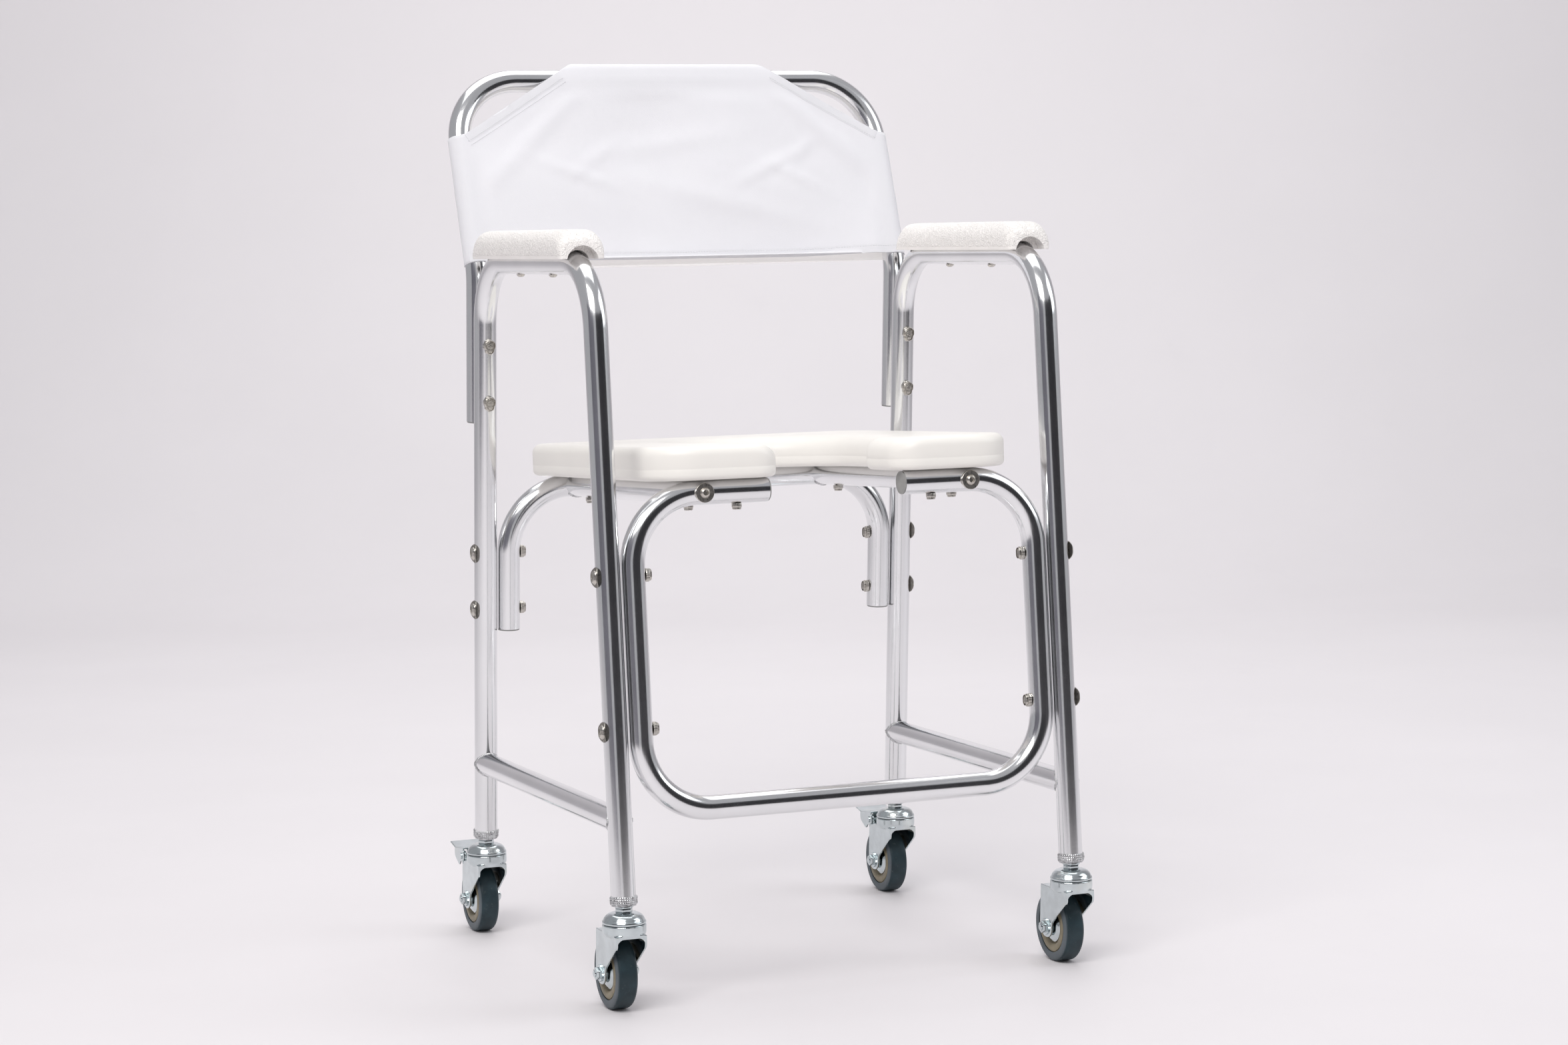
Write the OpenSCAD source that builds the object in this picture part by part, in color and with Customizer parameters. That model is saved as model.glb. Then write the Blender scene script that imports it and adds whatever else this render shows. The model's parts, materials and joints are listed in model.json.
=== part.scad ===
// Wheeled commode chair: bent and bolted aluminium tube frame, slung fabric back,
// open-front seat, moulded arm pads and four swivel casters, the rear two with a foot brake.
// Millimetres. +X is the sitter's left-hand side seen from the front, +Y the back, +Z up.
// The origin is on the floor, under the middle of the chair.

/* [Frame] */
// Distance between the left and right leg centre lines
leg_spacing = 508; // [420:1:620]
// Distance from the front foot to the rear foot
leg_spread = 452; // [380:1:560]
// Height of the lower end of each leg
leg_end_z = 113; // [105:0.5:140]
// Angle that each leg leans out towards its foot
leg_splay = 4.4; // [0:0.1:8]
// Height of the centre of the arm tubes
arm_z = 760; // [680:1:860]
// Height of the centre of the side braces
brace_z = 196.5; // [170:0.5:260]
// Outside diameter of the frame tube
tube_d = 25.4; // [22:0.1:30.5]
// Wall of the frame tube
tube_wall = 1.5; // [1:0.1:2.5]
// Bend radius on the tube's centre line
bend_r = 73; // [60:1:90]
// Gap between two tubes that are bolted side by side
tube_gap = 1.6; // [0.8:0.1:4]

/* [Front frame] */
// Height of the centre of the two short seat arms
front_arm_z = 523.5; // [450:0.5:620]
// Height of the centre of the lower cross bar
front_bar_z = 202.5; // [170:0.5:280]
// Distance from the middle to the inner end of each seat arm
front_arm_end_x = 77; // [50:1:120]
// Height of the upper bolt through each front leg
front_bolt_hi_z = 443; // [380:1:445]
// Height of the lower bolt through each front leg
front_bolt_lo_z = 287; // [283:1:350]

/* [Rear seat frame] */
// Height of the centre of the rear bar
rear_bar_z = 508; // [440:0.5:600]
// Height of the lower end of the rear seat frame
rear_frame_end_z = 349.5; // [300:0.5:352]
// Height of the upper bolt through each rear leg
rear_bolt_hi_z = 436; // [400:1:436]
// Height of the lower bolt through each rear leg
rear_bolt_lo_z = 372.5; // [370:0.5:395]
// Distance between the two seat rails
rail_spacing = 300; // [240:1:330]

/* [Back frame] */
// Height of the lower end of the back frame
back_end_z = 583; // [560:1:590]
// Height at which the uprights turn backwards
back_kink_z = 750; // [720:1:800]
// Radius of the kink on the tube's centre line
kink_r = 80; // [60:1:90]
// Angle that the upper part leans back
back_lean = 19.5; // [5:0.5:25]
// Height of the centre of the top bar
back_top_z = 962.5; // [880:0.5:1080]
// Height of the upper bolt through each upright
back_bolt_hi_z = 666; // [640:1:690]
// Height of the lower bolt through each upright
back_bolt_lo_z = 603; // [600:1:625]

/* [Back cover] */
// Height of the cover's lower edge
cover_end_z = 757; // [752:1:820]
// Height at which the cover's corner cuts start at the sides
cover_cut_side_z = 891; // [850:1:905]
// Half width of the cover's top edge, between the corner cuts
cover_top_x = 126; // [90:1:160]
// Thickness of the fabric
cover_t = 1.2; // [0.8:0.1:2]
// Clearance between the fabric and the tube
cover_clear = 1; // [0.6:0.1:2]
// Slack of the fabric over the top bar
cover_slack = 7; // [2:0.5:10]

/* [Arm pads] */
// Length of an arm pad
pad_l = 296; // [240:1:300]
// Width of an arm pad
pad_w = 50; // [44:1:60]
// Height of an arm pad
pad_h = 30.5; // [26:0.5:40]
// Depth by which the pad's rim drops below the top of the arm tube
pad_drop = 9; // [6:0.5:12]
// Distance between the two screws of a pad
pad_screw_spacing = 106; // [80:1:180]

/* [Seat] */
// Width of the seat
seat_w = 412; // [360:1:420]
// Distance by which the seat runs past the front frame's arms
seat_nose = 21.67; // [5:0.01:30]
// Thickness of the seat
seat_t = 35; // [28:1:45]
// Corner radius of the seat
seat_corner_r = 52; // [30:1:70]
// Distance by which the seat runs behind the rear bar
seat_overhang = 18; // [5:1:30]
// Width of the gap at the front of the seat
seat_gap_w = 128; // [100:1:150]
// Width of the seat opening
seat_open_w = 196; // [160:1:210]
// Length of the seat opening, with its gap
seat_open_l = 305; // [260:1:320]
// Length of the straight gap at the front
seat_throat_l = 88; // [60:1:110]

/* [Casters] */
// Diameter of a wheel
wheel_d = 76; // [63:0.5:80]
// Width of a tyre
tyre_w = 22; // [18:0.5:24]
// Distance that a wheel trails behind its swivel
trail = 28; // [22:0.5:32]
// Diameter of the swivel race
race_d = 45.2; // [42:0.2:48]
// Height of the top of the swivel cap
cap_top_z = 104; // [102:0.5:106]
// Distance from the swivel to the tip of the brake pedal
pedal_reach = 76; // [72:1:82]

/* [Fasteners] */
// Shank diameter of the frame bolts
bolt_d = 6; // [5:0.1:7.2]
// Clearance on the diameter of a bolt hole
hole_clear = 0.6; // [0.3:0.1:1.2]

/* [Hidden] */
$fn = 64;
eps = 0.01;

// Colours
aluminium = [0.84, 0.85, 0.87];
zinc = [0.74, 0.77, 0.78];
nickel = [0.72, 0.70, 0.66];
plug_grey = [0.5, 0.5, 0.48];
white_cloth = [0.97, 0.97, 0.98];
cream = [0.95, 0.93, 0.88];
tan_plastic = [0.52, 0.47, 0.36];
tyre_grey = [0.20, 0.26, 0.29];

// Frame, worked out
tube_r = tube_d / 2;
cope_gap = 0.05;
bend_lap = 2;
bend_swell = 0.1;
leg_x = leg_spacing / 2;
race_r = race_d / 2;
inner_x = leg_x - tube_d - tube_gap;
rear_foot_y = (leg_spread + race_r - pedal_reach) / 2;
front_foot_y = rear_foot_y - leg_spread;
function rear_leg_y(z) = rear_foot_y - (z - leg_end_z) * tan(leg_splay);
function front_leg_y(z) = front_foot_y + (z - leg_end_z) * tan(leg_splay);
// Distance along a leg from its lower end to a height
function along_leg(z) = (z - leg_end_z) / cos(leg_splay);

// Seat plane: from the rear bar up to the front arms
rear_bar_y = rear_leg_y(rear_bar_z);
front_arm_y = front_leg_y(front_arm_z);
seat_tilt = atan((front_arm_z - rear_bar_z) / (rear_bar_y - front_arm_y));
rail_run = norm([rear_bar_y - front_arm_y, front_arm_z - rear_bar_z]);
rail_x = rail_spacing / 2;
seat_depth = seat_overhang + rail_run + seat_nose;
seat_lift = 0.2;
seat_bolt_arm_x = 110;
seat_bolt_front = 34;
seat_bolt_rear = 55;
seat_bolt_depth = 20;

// Back frame plane
back_offset = (tube_d + tube_gap) / cos(leg_splay);
back_kink_y = rear_leg_y(back_kink_z) + back_offset;
back_top_run = (back_top_z - back_kink_z) / cos(back_lean);
cover_r = tube_r + cover_clear + cover_t;
cover_in_r = tube_r + cover_clear;

// Fasteners
hole_d = bolt_d + hole_clear;
saddle_t = 1.5;
saddle_d = 18;
head_d = 11.5;
head_h = 3.6;
socket_af = 4;
socket_h = 2;
nut_af = 10;
nut_h = 6.5;
nut_grip = 0.15;
// Clearance of a nut beside a bend
bend_grip = 0.45;
pad_fit = 0.05;

// Casters
wheel_r = wheel_d / 2;
pin_fit = 0.05;
kingpin_d = 10;
cap_skirt_z = 93.5;
cap_plate_z = 94.7;
crown_top_z = 93;
crown_floor_z = 90.5;
crown_low_z = 80;
skirt_wall = 2.8;
ball_d = 4;
ball_ring_r = 16;
ball_count = 18;
hex_af = 16;
neck_d = 19;
rivet_d = 15;
rivet_h = 3;
rivet_gap = 0.3;
cheek_in = 14.5;
cheek_t = 2.3;
axle_d = 8;
axle_head_af = 12;
axle_head_h = 5;
axle_nut_h = 6;
spacer_d = 12;
tyre_t = 9.5;
hub_rim = 8.5;
guard_gap = 3;
hub_r = wheel_r - tyre_t;
dish_r = hub_r - hub_rim;
guard_r = dish_r - guard_gap;
guard_t = 1.2;
boss_r = 9;
dish_depth = 4;
hub_inset = 0.5;
shoulder_r = 4;
pedal_pin_y = 34.5;
pedal_pin_z = 86;
pedal_pin_d = 5;
pedal_t = 2;
pedal_gap = 0.4;
FEET = [
    ["front_left", -1, front_foot_y], ["front_right", 1, front_foot_y],
    ["rear_left", -1, rear_foot_y], ["rear_right", 1, rear_foot_y]
];

// ---- Tube shapes ----

function unit(v) = v / norm(v);
function heading(path, i) = let (d = path[i + 1] - path[i]) atan2(d.y, d.x);
function wrap(a) = a > 180 ? a - 360 : a < -180 ? a + 360 : a;
function turn(path, i) = wrap(heading(path, i) - heading(path, i - 1));
function trim_at(path, i) = i == 0 || i == len(path) - 1 ? 0 : bend_r * tan(abs(turn(path, i)) / 2);

module ring() {
    difference() {
        circle(tube_r);
        circle(tube_r - tube_wall);
    }
}

// Round bar along a flat path of corner points, each inner corner rounded to the bend radius.
// Its two ends run past the path by reach.
module bent_rod(path, r, reach) {
    last = len(path) - 1;
    for (i = [0:last - 1]) {
        dir = unit(path[i + 1] - path[i]);
        before = i == 0 ? reach : bend_lap;
        after = i + 1 == last ? reach : bend_lap;
        start = path[i] + dir * (trim_at(path, i) - before);
        run = norm(path[i + 1] - path[i]) - trim_at(path, i) - trim_at(path, i + 1) + before + after;
        translate([start.x, start.y, 0]) rotate([0, 90, heading(path, i)]) cylinder(r = r, h = run);
    }
    for (i = [1:last - 1]) {
        dir = unit(path[i] - path[i - 1]);
        side = sign(turn(path, i));
        start = path[i] - dir * trim_at(path, i);
        centre = start + side * bend_r * [-dir.y, dir.x];
        from = heading(path, i - 1) - side * 90 + min(turn(path, i), 0);
        translate([centre.x, centre.y, 0]) rotate([0, 0, from]) bend(abs(turn(path, i)), bend_r, r);
    }
}

// One bend, a hair thicker than the straights that run into it
module bend(angle, radius, r)
    rotate_extrude(angle = angle, $fn = 96) translate([radius, 0]) circle(r + bend_swell);

module bent_tube(path) difference() {
    bent_rod(path, tube_r, 0);
    bent_rod(path, tube_r - tube_wall, bend_lap);
}

// Planes of the frame: local x is world X, local y runs up the leg
module front_plane() translate([0, front_foot_y, leg_end_z]) rotate([90 - leg_splay, 0, 0]) children();
module rear_plane() translate([0, rear_foot_y, leg_end_z]) rotate([90 + leg_splay, 0, 0]) children();
// Plane of the seat: origin on the rear bar's centre, -Y along the rails to the front arms
module seat_plane() translate([0, rear_bar_y, rear_bar_z]) rotate([-seat_tilt, 0, 0]) children();
// Plane of the upper back: origin at the kink, local y up, local z to the front
module back_plane() translate([0, back_kink_y, back_kink_z]) rotate([90 - back_lean, 0, 0]) children();
module both_sides() for (s = [-1, 1]) scale_x(s) children();
module scale_x(s) if (s > 0) children(); else mirror([1, 0, 0]) children();

// ---- Bolt places ----

// Places of the bolts through the legs, along +X from the outside of the right leg inwards
module at_leg_bolts() {
    both_sides() {
        for (z = [front_bolt_hi_z, front_bolt_lo_z]) translate([0, front_leg_y(z), z]) children();
        for (z = [rear_bolt_hi_z, rear_bolt_lo_z]) translate([0, rear_leg_y(z), z]) children();
    }
}

// Places of the bolts that hold the back frame to the rear legs, +Z to the back
module at_back_bolts() {
    both_sides() for (z = [back_bolt_hi_z, back_bolt_lo_z])
        translate([leg_x, rear_leg_y(z), z]) rotate([-90 + leg_splay, 0, 0]) children();
}

// Places of the seat bolts in the seat plane: on the arms, then on the rails
module at_seat_bolts() {
    seat_plane() both_sides() {
        translate([seat_bolt_arm_x, -rail_run, 0]) children();
        translate([rail_x, seat_bolt_front - rail_run, 0]) children();
        translate([rail_x, -seat_bolt_rear, 0]) children();
    }
}

module leg_bolt_holes() at_leg_bolts()
    translate([inner_x - tube_d, 0, 0]) rotate([0, 90, 0]) cylinder(d = hole_d, h = 3 * tube_d);
module back_bolt_holes() at_back_bolts()
    translate([0, 0, -tube_d]) cylinder(d = hole_d, h = 3 * tube_d);
module seat_bolt_holes() at_seat_bolts()
    translate([0, 0, -tube_d]) cylinder(d = hole_d, h = 2 * tube_d);

// ---- Tube frame ----

arm_front_y = front_leg_y(arm_z);
arm_rear_y = rear_leg_y(arm_z);

module side_tube(s) {
    color(aluminium) difference() {
        translate([s * leg_x, 0, 0]) rotate([90, 0, 90]) bent_tube([
            [front_foot_y, leg_end_z], [arm_front_y, arm_z],
            [arm_rear_y, arm_z], [rear_foot_y, leg_end_z]
        ]);
        leg_bolt_holes();
        back_bolt_holes();
        arm_screw_holes();
    }
}

module side_brace(s) {
    color(aluminium) difference() {
        translate([s * leg_x, front_leg_y(brace_z), brace_z]) rotate([-90, 0, 0])
            linear_extrude(rear_leg_y(brace_z) - front_leg_y(brace_z)) ring();
        leg_cores(cope_gap);
    }
}

// Solid cylinders that fill the straight stretch of every leg
module leg_cores(gap = 0) both_sides() translate([leg_x, 0, 0]) {
    front_plane() rotate([-90, 0, 0]) cylinder(r = tube_r + gap, h = along_leg(arm_z) - bend_r);
    rear_plane() rotate([-90, 0, 0]) cylinder(r = tube_r + gap, h = along_leg(arm_z) - bend_r);
}

module front_frame() {
    arm_y = along_leg(front_arm_z);
    bar_y = along_leg(front_bar_z);
    color(aluminium) difference() {
        front_plane() bent_tube([
            [-front_arm_end_x, arm_y], [-inner_x, arm_y], [-inner_x, bar_y],
            [inner_x, bar_y], [inner_x, arm_y], [front_arm_end_x, arm_y]
        ]);
        leg_bolt_holes();
        seat_bolt_holes();
        rail_bolt_holes();
    }
}

module rear_seat_frame() {
    top = along_leg(rear_bar_z);
    end = along_leg(rear_frame_end_z);
    color(aluminium) difference() {
        rear_plane() bent_tube([[-inner_x, end], [-inner_x, top], [inner_x, top], [inner_x, end]]);
        leg_bolt_holes();
    }
}

// Tube from the rear bar to the front arm, its ends cut to fit round both
module seat_rail(s) {
    color(aluminium) difference() {
        seat_plane() translate([s * rail_x, 0, 0]) rotate([90, 0, 0]) linear_extrude(rail_run) ring();
        seat_plane() rotate([0, 90, 0]) cylinder(r = tube_r + cope_gap, h = leg_spacing, center = true);
        seat_plane() translate([0, -rail_run, 0]) rotate([0, 90, 0])
            cylinder(r = tube_r + cope_gap, h = leg_spacing, center = true);
        seat_bolt_holes();
    }
}

module back_frame() {
    color(aluminium) difference() {
        back_run(tube_r, 0);
        back_run(tube_r - tube_wall, bend_lap);
        back_bolt_holes();
    }
}

// Loop over the top and the kinked uprights below it
module back_run(r, reach) {
    lean = leg_splay + back_lean;
    trim = kink_r * tan(lean / 2);
    low_run = (back_kink_z - back_end_z) / cos(leg_splay);
    back_plane() bent_rod([
        [-leg_x, trim], [-leg_x, back_top_run], [leg_x, back_top_run], [leg_x, trim]
    ], r, bend_lap);
    both_sides() translate([leg_x, back_kink_y, back_kink_z]) rotate([90 + leg_splay, 0, 0]) {
        translate([0, -low_run - reach, 0]) rotate([-90, 0, 0])
            cylinder(r = r, h = low_run - trim + reach + bend_lap);
        translate([0, -trim, -kink_r]) rotate([0, -90, 0]) bend(lean, kink_r, r);
    }
}

// ---- Collars, sockets and plugs ----

collar_h = 9;
collar_out = 1.2;
foot_flange = 2;
socket_depth = 26;
plug_fit = 0.1;
plug_depth = 12;
plug_lip = 1.5;

module at_leg_ends() both_sides() translate([leg_x, 0, 0]) {
    front_plane() rotate([-90, 0, 0]) children();
    rear_plane() rotate([-90, 0, 0]) children();
}

// Weld bead round the foot of each leg, rounded above
module leg_collars() color(aluminium) at_leg_ends() rotate_extrude() {
    translate([tube_r, 0]) square([collar_out, collar_h - collar_out]);
    translate([tube_r, collar_h - collar_out]) intersection() {
        circle(collar_out);
        square(collar_out);
    }
}

// Turned plug in the foot of each leg, with the threaded hole that takes the caster
module leg_sockets() {
    color(aluminium) both_sides() {
        leg_socket(front_foot_y, -1);
        leg_socket(rear_foot_y, 1);
    }
}

module leg_socket(y, way) {
    translate([leg_x, y, leg_end_z]) difference() {
        union() {
            rotate([way * leg_splay, 0, 0]) {
                cylinder(r = tube_r - tube_wall - pin_fit, h = socket_depth);
                translate([0, 0, -foot_flange]) cylinder(r = tube_r, h = foot_flange);
            }
            translate([0, 0, cap_top_z + hex_h - leg_end_z])
                cylinder(d = neck_d, h = leg_end_z - cap_top_z - hex_h);
        }
        translate([0, 0, -tube_d]) cylinder(d = kingpin_d + 2 * pin_fit, h = 2 * tube_d);
    }
}

module end_plug() {
    cylinder(r = tube_r - tube_wall - plug_fit, h = plug_depth);
    translate([0, 0, -plug_lip]) cylinder(r = tube_r - tube_wall / 2, h = plug_lip);
}

module front_frame_plugs() color(plug_grey) front_plane() both_sides()
    translate([front_arm_end_x, along_leg(front_arm_z), 0]) rotate([0, 90, 0]) end_plug();

module rear_frame_plugs() color(plug_grey) rear_plane() both_sides()
    translate([inner_x, along_leg(rear_frame_end_z), 0]) rotate([-90, 0, 0]) end_plug();

module back_frame_plugs() color(plug_grey) both_sides()
    translate([leg_x, rear_leg_y(back_end_z) + back_offset, back_end_z])
        rotate([leg_splay, 0, 0]) end_plug();

// ---- Back cover ----

// Flat loop of cloth: two panels joined round the uprights
module cover_loop(r) {
    for (s = [-1, 1]) translate([s * leg_x, 0]) circle(r);
    translate([-leg_x, -r]) square([2 * leg_x, 2 * r]);
}

module cover_block(r, top_r, low) {
    top = back_top_run + cover_slack;
    rotate([-90, 0, 0]) translate([0, 0, low]) linear_extrude(top - low) cover_loop(r);
    translate([0, top, 0]) rotate([0, 90, 0]) cylinder(r = top_r, h = 2 * leg_x, center = true);
}

module back_cover() {
    low = (cover_end_z - back_kink_z) / cos(back_lean);
    cut_low = (cover_cut_side_z - back_kink_z) / cos(back_lean);
    top = back_top_run + cover_slack + cover_r;
    side = leg_x + cover_r;
    color(white_cloth) back_plane() difference() {
        cover_block(cover_r, cover_r, low);
        cover_block(cover_in_r, cover_in_r, low - tube_r);
        both_sides() translate([0, 0, -tube_d]) linear_extrude(2 * tube_d)
            polygon([
                [side + tube_d, cut_low], [side, cut_low], [cover_top_x, top],
                [cover_top_x, top + tube_d], [side + tube_d, top + tube_d]
            ]);
    }
}

// ---- Arm pads ----

pad_y = (arm_front_y + arm_rear_y) / 2;
pad_low_z = arm_z + tube_r - pad_drop;
pad_edge_r = 11;
pad_slope = 12;
pad_rim = 7;
arch_r = 15.5;
arch_l = 16;
screw_d = 5;
screw_head_d = 9;
screw_head_h = 3;
screw_bite = 12;

module at_arm_screws() both_sides() for (d = [-1, 1])
    translate([leg_x, pad_y + d * pad_screw_spacing / 2, arm_z]) children();
module arm_screw_holes() at_arm_screws()
    translate([0, 0, -tube_d]) cylinder(d = screw_d + hole_clear, h = tube_d + tube_r + screw_bite + 1);

// Domed pad with sloped ends and a channel for the tube, widened to an arch at the front
module arm_pad(s) {
    color(cream) difference() {
        intersection() {
            translate([s * leg_x, pad_y + pad_l / 2, pad_low_z]) rotate([90, 0, 0])
            linear_extrude(pad_l) union() {
                translate([-pad_w / 2, 0]) square([pad_w, pad_h - pad_edge_r]);
                translate([-pad_w / 2 + pad_edge_r, 0]) square([pad_w - 2 * pad_edge_r, pad_h]);
                for (e = [-1, 1]) translate([e * (pad_w / 2 - pad_edge_r), pad_h - pad_edge_r])
                    circle(pad_edge_r);
            }
            translate([s * leg_x - pad_w, pad_y, pad_low_z]) rotate([90, 0, 90])
            linear_extrude(2 * pad_w) polygon([
                [-pad_l / 2, 0], [pad_l / 2, 0], [pad_l / 2, pad_rim], [pad_l / 2 - pad_slope, pad_h],
                [pad_slope - pad_l / 2, pad_h], [-pad_l / 2, pad_rim]
            ]);
        }
        translate([s * leg_x, pad_y, arm_z]) rotate([90, 0, 0])
            cylinder(r = tube_r + pad_fit, h = 2 * pad_l, center = true);
        translate([s * leg_x, pad_y - pad_l / 2 + arch_l, arm_z]) rotate([90, 0, 0])
            cylinder(r = arch_r, h = 2 * arch_l);
        arm_screw_holes();
    }
}

module arm_pad_screws() color(nickel) at_arm_screws() {
    translate([0, 0, -tube_r]) cylinder(d = screw_d, h = tube_d + screw_bite);
    translate([0, 0, -tube_r - screw_head_h]) cylinder(d = screw_head_d, h = screw_head_h);
}

// ---- Seat ----

module seat_outline() {
    r = seat_corner_r;
    translate([-seat_w / 2, r]) square([seat_w, seat_depth - 2 * r]);
    translate([r - seat_w / 2, 0]) square([seat_w - 2 * r, seat_depth]);
    for (x = [-1, 1], y = [r, seat_depth - r]) translate([x * (seat_w / 2 - r), y]) circle(r, $fn = 96);
}

// Open-front hole: a straight gap that widens into an oval
module seat_hole() {
    r = seat_open_w / 2;
    near = seat_throat_l + sqrt(r * r - seat_gap_w * seat_gap_w / 4);
    far = seat_open_l - r;
    translate([-seat_gap_w / 2, -eps]) square([seat_gap_w, near]);
    translate([-r, near]) square([seat_open_w, far - near]);
    for (y = [near, far]) translate([0, y]) circle(r, $fn = 96);
}

module seat() {
    color(cream) difference() {
        seat_plane() translate([0, seat_overhang - seat_depth, tube_r + seat_lift])
            linear_extrude(seat_t) difference() {
                seat_outline();
                seat_hole();
            }
        at_seat_bolts() cylinder(d = hole_d, h = tube_r + seat_lift + seat_bolt_depth + 1);
    }
}

module seat_bolts() color(nickel) at_seat_bolts()
    translate([0, 0, -tube_r - nut_h + 1]) cylinder(d = bolt_d, h = tube_d + nut_h - 1 + seat_bolt_depth);

module seat_nuts() color(nickel) at_seat_bolts()
    translate([0, 0, -tube_r - nut_grip]) mirror([0, 0, 1]) lock_nut();

// ---- Frame fasteners ----

// Button head with a hexagon socket; the shank runs down from z = 0
module button_bolt(length) {
    difference() {
        intersection() {
            cylinder(d = head_d, h = head_h);
            translate([0, 0, head_h - head_d * 0.8]) sphere(r = head_d * 0.8);
        }
        translate([0, 0, head_h - socket_h]) cylinder(d = socket_af, h = socket_h + 1, $fn = 6);
    }
    translate([0, 0, -length]) cylinder(d = bolt_d, h = length + eps);
}

// Hexagon nut with a round locking collar, open for the shank
module lock_nut() {
    difference() {
        union() {
            cylinder(d = nut_af / cos(30), h = nut_h * 0.7, $fn = 6);
            cylinder(d = nut_af * 0.92, h = nut_h);
        }
        translate([0, 0, -1]) cylinder(d = bolt_d + 2 * pin_fit, h = nut_h + 2);
    }
}

module leg_bolts() color(nickel) at_leg_bolts()
    translate([leg_x + tube_r + saddle_t + nut_grip, 0, 0]) rotate([0, 90, 0])
        button_bolt(2 * tube_d + tube_gap + saddle_t + nut_h);

module leg_nuts() color(nickel) at_leg_bolts()
    translate([inner_x - tube_r - bend_grip, 0, 0]) rotate([0, -90, 0]) lock_nut();

// Curved washers under the bolt heads
module leg_saddles() color(nickel) {
    both_sides() difference() {
        intersection() {
            union() {
                front_plane() translate([leg_x, 0, 0]) rotate([-90, 0, 0])
                    cylinder(r = tube_r + saddle_t, h = arm_z);
                rear_plane() translate([leg_x, 0, 0]) rotate([-90, 0, 0])
                    cylinder(r = tube_r + saddle_t, h = arm_z);
            }
            saddle_discs(saddle_d);
        }
        leg_cores();
        saddle_discs(hole_d);
    }
}

module saddle_discs(d) {
    for (z = [front_bolt_hi_z, front_bolt_lo_z])
        translate([leg_x, front_leg_y(z), z]) rotate([0, 90, 0]) cylinder(d = d, h = tube_d);
    for (z = [rear_bolt_hi_z, rear_bolt_lo_z])
        translate([leg_x, rear_leg_y(z), z]) rotate([0, 90, 0]) cylinder(d = d, h = tube_d);
}

module back_bolts() color(nickel) at_back_bolts()
    translate([0, 0, tube_d + tube_gap + tube_r + nut_grip])
        button_bolt(2 * tube_d + tube_gap + 2 * nut_grip + nut_h);

module back_nuts() color(nickel) at_back_bolts()
    translate([0, 0, -tube_r - nut_grip]) mirror([0, 0, 1]) lock_nut();

rail_bolt_d = 8;
rail_washer_d = 20;
rail_washer_t = 2.5;
rail_insert_l = seat_bolt_front - tube_r - 4.3;
rail_fit = bend_swell + cope_gap;
module at_rail_bolts() seat_plane() both_sides()
    translate([rail_x, -rail_run, 0]) rotate([90, 0, 0]) children();
module rail_bolt_holes() at_rail_bolts()
    translate([0, 0, -tube_d]) cylinder(d = rail_bolt_d + hole_clear, h = 2 * tube_d);

module rail_bolts() color(nickel) at_rail_bolts() {
    translate([0, 0, tube_r + rail_washer_t]) difference() {
        cylinder(d = head_d + 1, h = head_h + 1);
        translate([0, 0, head_h + 1 - socket_h]) cylinder(d = socket_af + 1, h = socket_h + 1, $fn = 6);
    }
    translate([0, 0, -tube_r - rail_insert_l + 4])
        cylinder(d = rail_bolt_d, h = tube_d + rail_washer_t + rail_insert_l - 4 + eps);
}

module rail_washers() color(nickel) difference() {
    at_rail_bolts() cylinder(d = rail_washer_d, h = tube_r + rail_washer_t);
    at_rail_bolts() cylinder(d = rail_bolt_d + hole_clear, h = tube_d);
    arm_cut();
}

// Round cut in what bears on the seat arms
module arm_cut() seat_plane() translate([0, -rail_run, 0]) rotate([0, 90, 0])
    cylinder(r = tube_r + rail_fit, h = leg_spacing, center = true);

// Threaded plugs inside the front ends of the rails
module rail_inserts() color(zinc) difference() {
    at_rail_bolts() translate([0, 0, -tube_r - rail_insert_l])
        cylinder(r = tube_r - tube_wall - plug_fit, h = rail_insert_l + tube_r);
    at_rail_bolts() translate([0, 0, -tube_r - rail_insert_l - 1])
        cylinder(d = rail_bolt_d + 2 * pin_fit, h = rail_insert_l + tube_d);
    arm_cut();
}

// ---- Casters ----

hex_h = 5.5;
stem_l = 24;
module at_feet() for (f = FEET) translate([f[1] * leg_x, f[2], 0]) children();
module at_foot(i) translate([FEET[i][1] * leg_x, FEET[i][2], 0]) children();
module at_wheel(i) at_foot(i) translate([0, trail, wheel_r]) rotate([0, 90, 0]) children();

// Fixed half of the swivel: threaded stem, hexagon, domed cap and the kingpin below it
module caster_caps() {
    dome_r = race_r - 0.2;
    round_r = 7;
    color(zinc) at_feet() {
        rotate_extrude() {
            translate([0, cap_plate_z]) square([dome_r - round_r, cap_top_z - cap_plate_z]);
            translate([0, cap_plate_z]) square([dome_r, cap_top_z - round_r - cap_plate_z]);
            translate([dome_r - round_r, cap_top_z - round_r]) intersection() {
                circle(round_r);
                square(round_r);
            }
            translate([dome_r - skirt_wall, cap_skirt_z]) square([skirt_wall, cap_plate_z - cap_skirt_z]);
        }
        translate([0, 0, cap_top_z]) cylinder(d = hex_af / cos(30), h = hex_h, $fn = 6);
        translate([0, 0, crown_low_z - rivet_gap - rivet_h]) cylinder(d = rivet_d, h = rivet_h);
        translate([0, 0, crown_low_z - rivet_gap - rivet_h])
            cylinder(d = kingpin_d, h = cap_top_z + hex_h + stem_l - crown_low_z + rivet_gap + rivet_h);
    }
}

module caster_balls() color(zinc) at_feet() for (i = [0:ball_count - 1])
    rotate([0, 0, i * 360 / ball_count]) translate([ball_ring_r, 0, (crown_floor_z + cap_plate_z) / 2])
        sphere(d = ball_d, $fn = 24);

axle_y = trail;
fork_back = trail + 11;
fork_front = -race_r + 2;

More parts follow.
